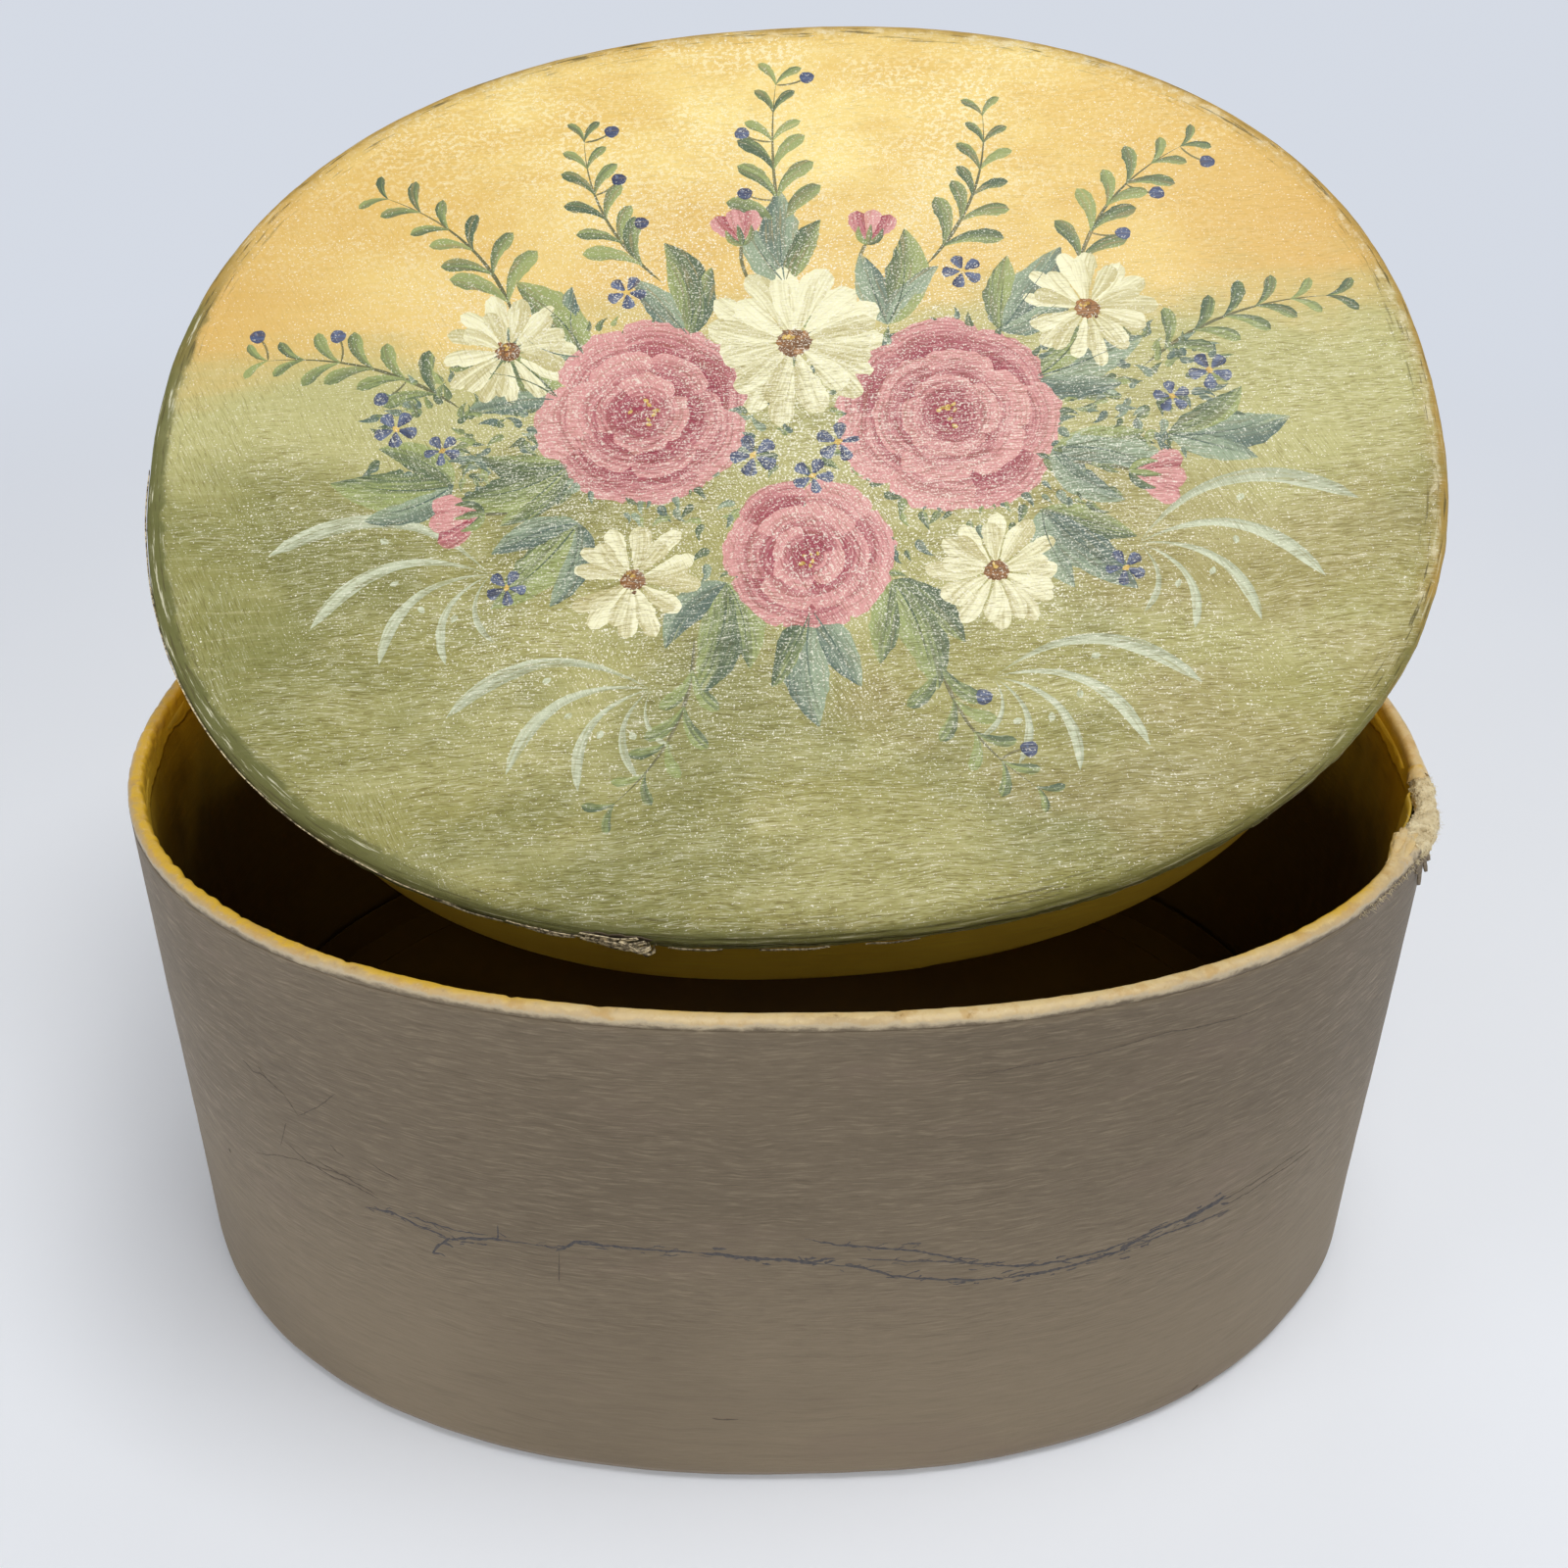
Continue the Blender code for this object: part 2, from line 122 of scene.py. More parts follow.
def outline(along, outset):
    """Plan points that lie along the oval and outset from the wall's outer face."""
    turn = np.interp(np.mod(along, PERIMETER), WALL_RUN, TURNS)
    x, y = superellipse(turn, LENGTH / 2, WIDTH / 2)
    slope_x = np.sign(x) * np.abs(x / (LENGTH / 2)) ** (OVAL_POWER - 1) / LENGTH
    slope_y = np.sign(y) * np.abs(y / (WIDTH / 2)) ** (OVAL_POWER - 1) / WIDTH
    steep = np.hypot(slope_x, slope_y)
    return x + slope_x / steep * outset, y + slope_y / steep * outset


def placed(along, outset, height):
    """Points on the oval as one array, from arrays of places, outsets and heights."""
    along, outset, height = np.broadcast_arrays(along, outset, height)
    x, y = outline(along, outset)
    return np.stack([x, y, height], axis=-1)


def ease(value):
    """A smooth step from 0 to 1."""
    held = np.clip(value, 0, 1)
    return held * held * (3 - 2 * held)


def away_from(along, place):
    """Signed distance along the wall from a place, the short way round."""
    return np.mod(along - place + PERIMETER / 2, PERIMETER) - PERIMETER / 2


def hump(along, place, reach):
    """1 at a place on the oval, fading to 0 at reach on either side."""
    return 1 - ease(np.abs(away_from(along, place)) / reach)


def band_shift(along):
    """How far the single band leans out behind the lap, and in before it."""
    away = away_from(along, LAP_PLACE)
    return np.sign(away) * LAP_SHIFT * (1 - ease((np.abs(away) - LAP_LENGTH / 2) / LAP_RAMP))


def skin_shift(along):
    """The outer skin rides over the outer end of the band, and paste fills the step in front of it."""
    away = away_from(along, LAP_PLACE)
    behind = np.maximum(band_shift(along), 0)
    before = LAP_SHIFT * (1 - ease((-away - LAP_LENGTH / 2) / SKIN_FADE))
    return np.where(away > -LAP_LENGTH / 2, np.where(away > 0, behind, LAP_SHIFT), before)


def lining_shift(along):
    """The lining rides over the inner end of the band and steps back behind it."""
    away = away_from(along, LAP_PLACE)
    band = band_shift(along)
    before = np.where(away < 0, np.minimum(band, 0), -LAP_SHIFT)
    behind = -LAP_SHIFT + (band + LAP_SHIFT) * ease((away - LAP_LENGTH / 2) / SKIN_STEP)
    return np.where(away < LAP_LENGTH / 2, before, behind)


def collar_depth(along):
    """The collar's depth, with the jog where its two ends meet."""
    away = np.mod(along - COLLAR_PLACE, PERIMETER)
    return COLLAR_DEPTH - COLLAR_JOG * (1 - away / PERIMETER) * ease(away / COLLAR_JOG_RUN)


def ripple(seed, along, up, along_size, up_size):
    """A smooth random field of about -1 to 1 over the wall, which closes round the oval."""
    draw = random.Random(seed)
    total = 0
    for _ in range(RIPPLE_WAVES):
        turns = max(1, round(PERIMETER / along_size * draw.uniform(0.4, 1.6)))
        rise = 2 * math.pi / up_size * draw.uniform(-1.4, 1.4)
        phase = draw.uniform(0, 2 * math.pi)
        total = total + np.sin(2 * math.pi * turns / PERIMETER * along + rise * up + phase)
    return total / math.sqrt(2 * RIPPLE_WAVES) / 1.4


def wave(seed, along, along_size):
    """A smooth random curve of about -1 to 1 round the oval."""
    return ripple(seed, along, 0, along_size, 1)


def lid_matrix():
    """The lid's frame: its turn, and the middle of the underside of its board."""
    turn = Euler((LID_TILT, LID_ROLL, LID_YAW)).to_matrix()
    board = np.array([vertex.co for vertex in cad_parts["lid_board"].data.vertices]) @ np.array(turn)
    low, high = board.min(axis=0), board.max(axis=0)
    middle = Vector(((low[0] + high[0]) / 2, (low[1] + high[1]) / 2, low[2]))
    return Matrix.Translation(turn @ middle) @ turn.to_4x4()


LID = lid_matrix()
LID_ARRAY = np.array(LID)


def on_lid(points):
    """Points of the lid's frame, moved to where the lid stands."""
    return points @ LID_ARRAY[:3, :3].T + LID_ARRAY[:3, 3]


# Meshes

def add_piece(name, points, faces, body, material, attributes=None):
    """A mesh object that rides on a body, with named numbers on its points."""
    mesh = bpy.data.meshes.new(name)
    mesh.from_pydata(points.reshape(-1, 3).tolist(), [], faces)
    for key, values in (attributes or {}).items():
        made = mesh.attributes.new(key, "FLOAT", "POINT")
        made.data.foreach_set("value", np.asarray(values, dtype=np.float32).ravel())
    mesh.shade_smooth()
    piece = bpy.data.objects.new(name, mesh)
    bpy.context.scene.collection.objects.link(piece)
    piece.data.materials.append(material)
    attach(piece, body)
    return piece


NO_LENGTH = 1e-12


def grid_faces(rows, columns, close_rows=False, close_columns=False, first=0):
    """Quads between the points of a grid, which may close on itself either way."""
    index = np.arange(rows * columns).reshape(rows, columns) + first
    if close_rows:
        index = np.vstack([index, index[:1]])
    if close_columns:
        index = np.hstack([index, index[:, :1]])
    quads = np.stack([index[:-1, :-1], index[1:, :-1], index[1:, 1:], index[:-1, 1:]], axis=-1)
    return quads.reshape(-1, 4).tolist()


class Heap:
    """Gathers many small grids, such as strokes or fibres, into one mesh."""

    def __init__(self):
        self.points = []
        self.faces = []
        self.values = {}
        self.count = 0

    def add(self, grid, tone=0.0, closed=False, **values):
        """Adds a grid of points. closed joins its columns into rings and caps its ends."""
        rows, columns = grid.shape[:2]
        self.faces += grid_faces(rows, columns, close_columns=closed, first=self.count)
        if closed:
            last = self.count + (rows - 1) * columns
            self.faces.append([self.count + step for step in range(columns)])
            self.faces.append([last + step for step in reversed(range(columns))])
        self.points.append(grid.reshape(-1, 3))
        for key, value in {"tone": tone, **values}.items():
            spread = np.broadcast_to(value, (rows, columns)).ravel()
            self.values.setdefault(key, []).append(spread)
        self.count += rows * columns

    def piece(self, name, body, slot, material):
        values = {key: np.concatenate(parts) for key, parts in self.values.items()}
        return add_piece(name, np.concatenate(self.points), self.faces, body, material, values)


def unit(vectors):
    """The same directions, each with length 1."""
    return vectors / np.maximum(np.linalg.norm(vectors, axis=-1, keepdims=True), NO_LENGTH)


def tube(path, radius, sides=5):
    """A round strand along a path, with a radius at each point."""
    ahead = unit(np.gradient(path, axis=0))
    upright = abs(ahead[:, 2]).max() > 0.95
    side = unit(np.cross(ahead, (0.9, 0.3, 0.1) if upright else (0.0, 0.0, 1.0)))
    over = np.cross(side, ahead)
    turn = np.linspace(0, 2 * math.pi, sides, endpoint=False)
    ring = side[:, None] * np.cos(turn)[:, None] + over[:, None] * np.sin(turn)[:, None]
    return path[:, None] + ring * np.broadcast_to(radius, len(path))[:, None, None]


# Shader nodes

class Nodes:
    """Builds one material: each method adds a node and gives back its output."""

    def __init__(self, name):
        self.material = bpy.data.materials.new(name)
        self.material.use_nodes = True
        self.tree = self.material.node_tree
        self.shader = self.tree.nodes["Principled BSDF"]

    def put(self, socket, value):
        if isinstance(value, bpy.types.NodeSocket):
            self.tree.links.new(value, socket)
        elif isinstance(value, tuple) and len(value) == 3 and len(socket.default_value) == 4:
            socket.default_value = (*value, 1)
        else:
            socket.default_value = value

    def new(self, kind, inputs, output=0, **settings):
        made = self.tree.nodes.new("ShaderNode" + kind)
        for key, value in settings.items():
            setattr(made, key, value)
        for key, value in inputs.items():
            self.put(made.inputs[key], value)
        return made.outputs[output]

    def place(self):
        """Coordinates in metres in the frame that the box stands in."""
        return self.new("TexCoord", {}, "Object")

    def lid_place(self):
        """Coordinates in metres in the lid's frame."""
        turn = tuple(LID.to_euler())
        inputs = {"Vector": self.place(), "Location": tuple(LID.translation), "Rotation": turn}
        return self.new("Mapping", inputs, vector_type="TEXTURE")

    def stretched(self, vector, scales):
        return self.new("VectorMath", {0: vector, 1: scales}, operation="MULTIPLY")

    def axis(self, vector, name):
        return self.new("SeparateXYZ", {0: vector}, name)

    def attribute(self, name):
        return self.new("Attribute", {}, "Fac", attribute_name=name)

    def noise(self, vector, scales, detail=4.0, rough=0.55):
        """Noise of about 0.2 to 0.8. scales is how many times a metre it repeats, alike or on each axis."""
        scales = scales if isinstance(scales, tuple) else (scales,) * 3
        inputs = {"Vector": self.stretched(vector, scales), "Scale": 1.0}
        return self.new("TexNoise", {**inputs, "Detail": detail, "Roughness": rough})

    def step(self, value, low, high):
        """0 below low and 1 above high, with a smooth rise between them; or the other way round."""
        inputs = {"Value": value, "From Min": low, "From Max": high}
        return self.new("MapRange", inputs, interpolation_type="SMOOTHSTEP")

    def sums(self, operation, first, second=0.0):
        return self.new("Math", {0: first, 1: second}, operation=operation)

    def add(self, first, second):
        return self.sums("ADD", first, second)

    def less(self, first, second):
        return self.sums("SUBTRACT", first, second)

    def times(self, first, second):
        return self.sums("MULTIPLY", first, second)

    def swing(self, value, amount):
        """How far a noise is from its middle value, scaled."""
        return self.times(self.less(value, 0.5), amount)

    def between(self, value, at_zero, at_one):
        """Leads from one number to another as the value goes from 0 to 1."""
        return self.new("MapRange", {"Value": value, "To Min": at_zero, "To Max": at_one})

    def moved(self, vector, by):
        return self.new("VectorMath", {0: vector, 1: by})

    def reach(self, vector):
        """How long a vector is."""
        return self.new("VectorMath", {0: vector}, "Value", operation="LENGTH")

    def mix(self, share, first, second, blend="MIX"):
        inputs = {0: share, 6: first, 7: second}
        return self.new("Mix", inputs, 2, data_type="RGBA", blend_type=blend)

    def tint(self, tone, value, low, high, colour, amount=None):
        """Lays a colour over a tone, more and more as the value goes from low to high."""
        share = self.step(value, low, high)
        if amount is not None:
            share = self.times(share, amount)
        return self.mix(share, tone, colour)

    def ramp(self, value, stops):
        made = self.tree.nodes.new("ShaderNodeValToRGB")
        ramp = made.color_ramp
        while len(ramp.elements) < len(stops):
            ramp.elements.new(0.5)
        for element, (at, colour) in zip(ramp.elements, stops):
            element.position = at
            element.color = (*colour, 1)
        self.put(made.inputs[0], value)
        return made.outputs[0]

    def bump(self, height, distance, under=None):
        inputs = {"Height": height, "Distance": distance, "Strength": 1.0}
        if under:
            inputs["Normal"] = under
        return self.new("Bump", inputs)

    def finish(self, colour, roughness, normal=None, coat=0.0, coat_roughness=0.3, specular=0.5):
        self.put(self.shader.inputs["Base Color"], colour)
        self.put(self.shader.inputs["Roughness"], roughness)
        self.put(self.shader.inputs["Coat Weight"], coat)
        self.put(self.shader.inputs["Coat Roughness"], coat_roughness)
        self.put(self.shader.inputs["Specular IOR Level"], specular)
        if normal:
            self.put(self.shader.inputs["Normal"], normal)
        return self.material


# Colours, as linear values
# Taupe high on the wall, darkened as painted shade under the lid, and low on the wall, lightened as painted
# bounce light from the floor
TAUPE_HIGH_SHADED = (0.150, 0.114, 0.071)
TAUPE_LOW_LIT = (0.206, 0.159, 0.101)
TAUPE_DARK = (0.092, 0.067, 0.039)
TAUPE_PALE = (0.285, 0.225, 0.148)
TAUPE_RED = (0.180, 0.128, 0.090)
BEIGE = (0.50, 0.41, 0.27)
RIM_CREAM = (0.66, 0.51, 0.26)
RIM_DULL = (0.50, 0.35, 0.170)
# Painted highlight on the binding's shoulder and grain
RIM_HIGHLIGHT = (0.80, 0.69, 0.44)
RIM_OCHRE = (0.66, 0.405, 0.030)
OCHRE = (0.60, 0.390, 0.030)
OCHRE_DEEP = (0.38, 0.238, 0.016)
# Painted shade for the inside of the box
OCHRE_SHADE = (0.042, 0.020, 0.002)
PULP = (0.60, 0.49, 0.29)
PULP_PALE = (0.76, 0.66, 0.43)
# Painted shade in the pulp's hollows and holes
PULP_SHADE = (0.26, 0.19, 0.095)
BOARD = (0.42, 0.33, 0.20)
GREY_PAPER = (0.82, 0.700, 0.450)
GREY_DARK = (0.10, 0.076, 0.048)
GOLD = (0.80, 0.550, 0.158)
GOLD_DEEP = (0.69, 0.425, 0.115)
GOLD_PALE = (0.93, 0.745, 0.285)
MEADOW = (0.52, 0.495, 0.215)
OLIVE = (0.370, 0.345, 0.112)
OLIVE_DEEP = (0.215, 0.218, 0.062)
OLIVE_PALE = (0.490, 0.465, 0.195)
TAN = (0.365, 0.300, 0.115)
EDGE_OLIVE = (0.170, 0.158, 0.040)
EDGE_OCHRE = (0.43, 0.270, 0.060)
# Painted glint: light off the varnish laid into the colour
GLINT = (0.97, 0.95, 0.82)


def taupe_tone(n, place):
    """The brushed taupe: its colour, and the height of its brush marks and wrinkles. Its colour holds
    painted shade towards the top of the wall and painted bounce light towards the foot.
    """
    up = n.axis(place, "Z")
    broad = n.noise(place, (9, 9, 16), 3)
    swirl = n.noise(place, (55, 55, 90), 3)
    waved = n.moved(place, n.new("CombineXYZ", {2: n.times(swirl, 0.0035)}))
    comb = n.noise(waved, (190, 190, 3300), 3, 0.6)
    wrinkle = n.noise(waved, (190, 190, 1700), 5, 0.65)
    brush = n.noise(waved, (40, 40, 800), 4, 0.6)
    rough = n.add(0.30, n.times(n.step(up, 0.022, 0.056), 0.70))
    # Darker towards the top as painted shade, lighter towards the foot as painted bounce light
    tone = n.tint(TAUPE_HIGH_SHADED, up, 0.085, 0.015, TAUPE_LOW_LIT)
    tone = n.tint(tone, broad, 0.56, 0.36, TAUPE_DARK, 0.30)
    # Wrinkles and combed streaks: partly the paint's own streaks, partly painted light on their ridges and
    # painted shade in their grooves
    tone = n.tint(tone, wrinkle, 0.54, 0.72, TAUPE_PALE, n.times(rough, 0.26))
    tone = n.tint(tone, wrinkle, 0.46, 0.30, TAUPE_DARK, n.times(rough, 0.30))
    tone = n.tint(tone, comb, 0.53, 0.66, TAUPE_PALE, n.times(rough, 0.40))
    tone = n.tint(tone, comb, 0.47, 0.34, TAUPE_DARK, n.times(rough, 0.45))
    tone = n.tint(tone, brush, 0.54, 0.72, TAUPE_PALE, 0.18)
    tone = n.tint(tone, brush, 0.46, 0.30, TAUPE_DARK, 0.20)
    patch = n.noise(place, (26, 26, 70), 4, 0.6)
    tone = n.tint(tone, patch, 0.55, 0.70, TAUPE_RED, 0.30)
    scuff = n.add(n.times(n.noise(place, (45, 45, 75), 4, 0.6), 0.62), n.times(comb, 0.38))
    ends = n.step(n.sums("ABSOLUTE", n.axis(place, "X")), 0.082, 0.126)
    worn = n.times(n.step(scuff, 0.50, 0.60), n.times(ends, n.step(wrinkle, 0.50, 0.58)))
    tone = n.mix(n.times(rough, n.times(worn, 0.34)), tone, (0.35, 0.28, 0.205))
    foot = n.step(n.add(up, n.times(patch, 0.0012)), 0.0036, 0.0026)
    tone = n.mix(n.times(foot, 0.45), tone, (0.32, 0.25, 0.19))
    height = n.add(n.times(wrinkle, 0.45), n.times(n.times(comb, rough), 0.55))
    return tone, height


def outer_tone(n, place):
    """The wall's outside up to the rim: taupe, rubbed through to beige and white along its top edge."""
    tone, height = taupe_tone(n, place)
    fine = n.noise(place, (260, 260, 520), 5, 0.7)
    slow = n.noise(place, 45, 3)
    rough_end = n.step(n.axis(place, "X"), 0.098, 0.128)
    reach = n.add(0.0026, n.times(rough_end, 0.0034))
    edge = n.swing(fine, reach)
    edge = n.add(edge, n.swing(slow, 0.0016))
    edge = n.add(edge, n.axis(place, "Z"))
    tone = n.tint(tone, edge, RIM_TOP - 0.0024, RIM_TOP - 0.0012, BEIGE)
    tone = n.tint(tone, edge, RIM_TOP - 0.0014, RIM_TOP - 0.0004, RIM_DULL)
    return tone, height, edge


def wall_paint():
    """The painted outside of the wall."""
    n = Nodes("taupe_paint")
    place = n.place()
    tone, height, _ = outer_tone(n, place)
    speck = n.noise(place, 900, 2)
    normal = n.bump(speck, 0.00003, n.bump(height, 0.00016))
    rough = n.between(height, 0.66, 0.48)
    return n.finish(tone, rough, normal, specular=0.4)


def ochre_paint(name, base, deep, shaded_below=-1.0):
    """Matt ochre paint on paper, with brush streaks and wrinkles, and painted shade that darkens it below a
    height.
    """
    n = Nodes(name)
    place = n.place()
    broad = n.noise(place, 30, 4)
    streak = n.noise(place, (60, 60, 900), 5, 0.6)
    grain = n.noise(place, 1400, 3)
    pale = tuple(min(1, 1.3 * part) for part in base)
    tone = n.tint(deep, broad, 0.35, 0.65, base)
    tone = n.tint(tone, streak, 0.52, 0.75, pale, 0.35)
    tone = n.tint(tone, streak, 0.45, 0.28, deep, 0.45)
    level = n.add(n.axis(place, "Z"), n.swing(broad, 0.030))
    # Painted shade: the ochre darkens below the given height
    tone = n.tint(tone, level, shaded_below, shaded_below - 0.045, OCHRE_SHADE, 0.95)
    normal = n.bump(grain, 0.00004, n.bump(streak, 0.00016))
    return n.finish(tone, 0.5, normal, specular=0.3)


def rim_paint():
    """The binding: ochre inside, ochre and cream on top, rubbed dull at its shoulder with a painted whitish
    highlight there, taupe below that.
    """
    n = Nodes("rim_paint")
    place = n.place()
    fold = n.attribute("fold")
    outer, _, edge = outer_tone(n, place)
    patch = n.noise(place, 60, 5, 0.6)
    fine = n.noise(place, 380, 5, 0.65)
    grain = n.noise(place, 1500, 3, 0.6)
    loose = n.less(fine, 0.5)
    cream = n.tint((0.64, 0.46, 0.20), fine, 0.34, 0.66, RIM_CREAM)
    share = n.add(n.attribute("ochre"), n.swing(patch, 1.5))
    share = n.add(share, n.times(n.less(fold, 0.45), 1.6))
    tone = n.tint(cream, share, 0.42, 1.0, RIM_OCHRE)
    shoulder = n.step(n.add(fold, n.times(loose, 0.40)), 0.44, 0.32)
    rubbed = n.tint((0.43, 0.315, 0.165), patch, 0.40, 0.60, RIM_DULL)
    tone = n.mix(n.times(shoulder, 0.80), tone, rubbed)
    # Painted highlight: whitish along the outer shoulder, and in fine spots over the rim's grain
    pale = n.times(shoulder, n.step(n.attribute("ochre"), 0.80, 0.35))
    pale = n.times(pale, n.step(patch, 0.42, 0.60))
    tone = n.mix(n.times(pale, 0.40), tone, RIM_HIGHLIGHT)
    tone = n.tint(tone, grain, 0.62, 0.75, RIM_HIGHLIGHT, 0.30)
    stain = n.step(n.noise(place, 150, 5, 0.7), 0.50, 0.62)
    tone = n.mix(n.times(stain, 0.55), tone, (0.50, 0.30, 0.085))
    # Painted shade in the hollows of the rim's fine wrinkles
    tone = n.tint(tone, fine, 0.37, 0.26, (0.30, 0.17, 0.04), 0.65)
    inner = n.step(n.add(fold, n.times(loose, 0.25)), 0.66, 0.80)
    tone = n.mix(inner, tone, OCHRE)
    outside = n.step(fold, 0.42, 0.36)
    below = n.step(edge, RIM_TOP - 0.0004, RIM_TOP - 0.0014)
    tone = n.mix(n.times(outside, below), tone, outer)
    normal = n.bump(grain, 0.00006, n.bump(fine, 0.00022))
    rough = n.between(fine, 0.58, 0.36)
    return n.finish(tone, rough, normal, specular=0.3)


def pulp_stuff():
    """Torn board: pale felted pulp, with painted shade in the hollows between its clumps, in its holes and
    on its underside.
    """
    n = Nodes("torn_pulp")
    place = n.place()
    clump = n.noise(place, 430, 4, 0.6)
    fibre = n.noise(place, 2400, 4, 0.6)
    # Painted shade in the hollows between the clumps and fibres
    tone = n.ramp(clump, [(0.28, PULP_SHADE), (0.39, PULP), (0.62, PULP_PALE)])
    tone = n.tint(tone, fibre, 0.56, 0.70, (0.84, 0.76, 0.57), 0.5)
    tone = n.tint(tone, fibre, 0.44, 0.32, PULP_SHADE, 0.14)
    # The tone attribute paints shade into the holes and onto the underside
    tone = n.mix(n.times(n.attribute("tone"), 0.60), tone, PULP_SHADE)
    normal = n.bump(fibre, 0.00016, n.bump(clump, 0.0004))
    return n.finish(tone, 0.9, normal, specular=0.25)


def raw_board(name, colour, dark):
    """Grey-brown pasteboard, seen on edges and under the base."""
    n = Nodes(name)
    place = n.place()
    ply = n.noise(place, (120, 120, 1900), 4)
    fleck = n.noise(place, 1500, 3)
    tone = n.tint(dark, ply, 0.38, 0.64, colour)
    tone = n.tint(tone, fleck, 0.62, 0.72, tuple(1.5 * part for part in colour), 0.4)
    return n.finish(tone, 0.88, n.bump(fleck, 0.0001), specular=0.3)


def lid_weave(n, place):
    """The lid's brushed ground: fine ridges, broad brush marks, and a mask for the painted glints where the
    varnish catches light.
    """
    swirl = n.noise(place, 30, 3)
    waved = n.moved(place, n.new("CombineXYZ", {1: n.times(swirl, 0.006)}))
    level = n.noise(waved, (400, 4400, 400), 3, 0.6)
    turned = n.new("Mapping", {"Vector": place, "Rotation": (0.0, 0.0, 1.15)})
    slanted = n.noise(turned, (330, 3600, 330), 3, 0.6)
    slanted = n.add(0.15, n.times(slanted, 0.7))
    crossing = n.step(n.less(n.noise(place, 15, 3), n.axis(place, "X")), 0.52, 0.62)
    ridge = n.add(level, n.times(crossing, n.less(slanted, level)))
    plain = n.less(1.0, n.times(n.step(n.axis(place, "Y"), 0.005, 0.040), 0.60))
    ridge = n.add(0.5, n.swing(ridge, plain))
    brush = n.noise(waved, (60, 1000, 60), 4, 0.6)
    speck = n.noise(place, 2300, 2, 0.55)
    cloud = n.noise(place, (42, 60, 42), 4, 0.6)
    middle = n.reach(n.stretched(place, (6.4, 8.0, 0.0)))
    thick = n.add(n.step(middle, 1.0, 0.1), n.swing(cloud, 1.6))
    bar = n.between(thick, 0.655, 0.560)
    lit = n.add(speck, n.swing(ridge, 0.30))
    glint = n.step(n.less(lit, bar), 0.0, 0.050)
    return ridge, brush, glint


def glinting(n, tone, weave, share=0.85):
    """A tone under the varnish, with painted glints as fine pale dots, and painted light and shade on the
    ridges.
    """
    ridge, _, glint = weave
    # Painted shade between the ridges, painted light on their crests, then the painted glints
    tone = n.mix(n.times(n.step(ridge, 0.50, 0.34), 0.85), tone, (0.52, 0.47, 0.34), "MULTIPLY")
    tone = n.tint(tone, ridge, 0.52, 0.70, GLINT, 0.36)
    return n.mix(n.times(glint, share), tone, GLINT)


def varnished(n, tone, weave, bristle):
    """Ends a lid material: varnish over the ground's ridges and a stroke's bristle marks."""
    ridge, brush, glint = weave
    height = n.add(n.times(ridge, 0.6), n.times(brush, 0.4))
    normal = n.bump(bristle, 0.00012, n.bump(height, 0.00013))
    rough = n.between(glint, 0.50, 0.24)
    return n.finish(tone, rough, normal, coat=0.06, coat_roughness=0.30, specular=0.35)


def ground_tone(n, place, weave):
    """The lid's ground colours: gold above, then pale meadow green, then olive with tan patches."""
    _, brush, _ = weave
    along, slope = n.axis(place, "X"), n.axis(place, "Y")
    broad = n.noise(place, (14, 20, 14), 4, 0.6)
    swept = n.noise(place, (13, 90, 13), 4, 0.6)
    mottle = n.noise(place, (800, 900, 800), 4, 0.65)
    drift = n.swing(broad, 0.060)
    drift = n.add(drift, n.swing(swept, 0.035))
    level = n.add(slope, drift)
    gold = n.tint(GOLD, broad, 0.40, 0.62, GOLD_PALE)
    gold = n.tint(gold, swept, 0.42, 0.66, GOLD_PALE, 0.35)
    # Pale dots in the gold: partly the paint's own mottle, partly painted glints of the varnish
    cloud = n.step(n.noise(place, (36, 46, 36), 4, 0.6), 0.40, 0.62)
    pale_mottle_and_glints = n.times(n.step(mottle, 0.50, 0.56), n.add(0.30, n.times(cloud, 0.70)))
    gold = n.mix(n.times(pale_mottle_and_glints, 0.75), gold, (0.97, 0.865, 0.54))
    gold = n.tint(gold, level, 0.090, 0.040, GOLD_DEEP, 0.45)
    far = n.reach(n.stretched(place, (7.6, 4.6, 0.0)))
    far = n.add(far, n.swing(swept, 0.5))
    gold = n.tint(gold, far, 0.62, 1.02, GOLD_DEEP, 0.75)
    olive = n.tint(OLIVE, swept, 0.36, 0.64, OLIVE_PALE)
    olive = n.tint(olive, broad, 0.54, 0.36, OLIVE_DEEP, 0.7)
    olive = n.tint(olive, along, -0.045, -0.125, OLIVE_DEEP, 0.55)
    dry = n.step(n.add(n.noise(place, (17, 30, 17), 3), n.times(along, 1.2)), 0.54, 0.68)
    olive = n.mix(n.times(dry, 0.50), olive, TAN)
    tone = n.tint(gold, level, 0.042, 0.014, MEADOW)
    tone = n.tint(tone, level, 0.012, -0.026, olive)
    lower = n.add(0.06, n.times(n.step(level, 0.042, 0.0), 0.12))
    tone = n.mix(n.times(lower, n.step(brush, 0.54, 0.72)), tone, (0.90, 0.82, 0.52))
    return n.mix(n.times(lower, n.step(brush, 0.46, 0.30)), tone, (0.30, 0.24, 0.08))


def cracks_round(n, place, across):
    """Fine lines that run round the lid beside its edge."""
    way = n.new("VectorMath", {0: n.stretched(place, (1.0, 1.2, 0.0))}, operation="NORMALIZE")
    spot = n.moved(n.stretched(way, (10, 10, 0)), n.new("CombineXYZ", {2: n.times(across, 1500)}))
    return n.noise(spot, 1, 5, 0.65)


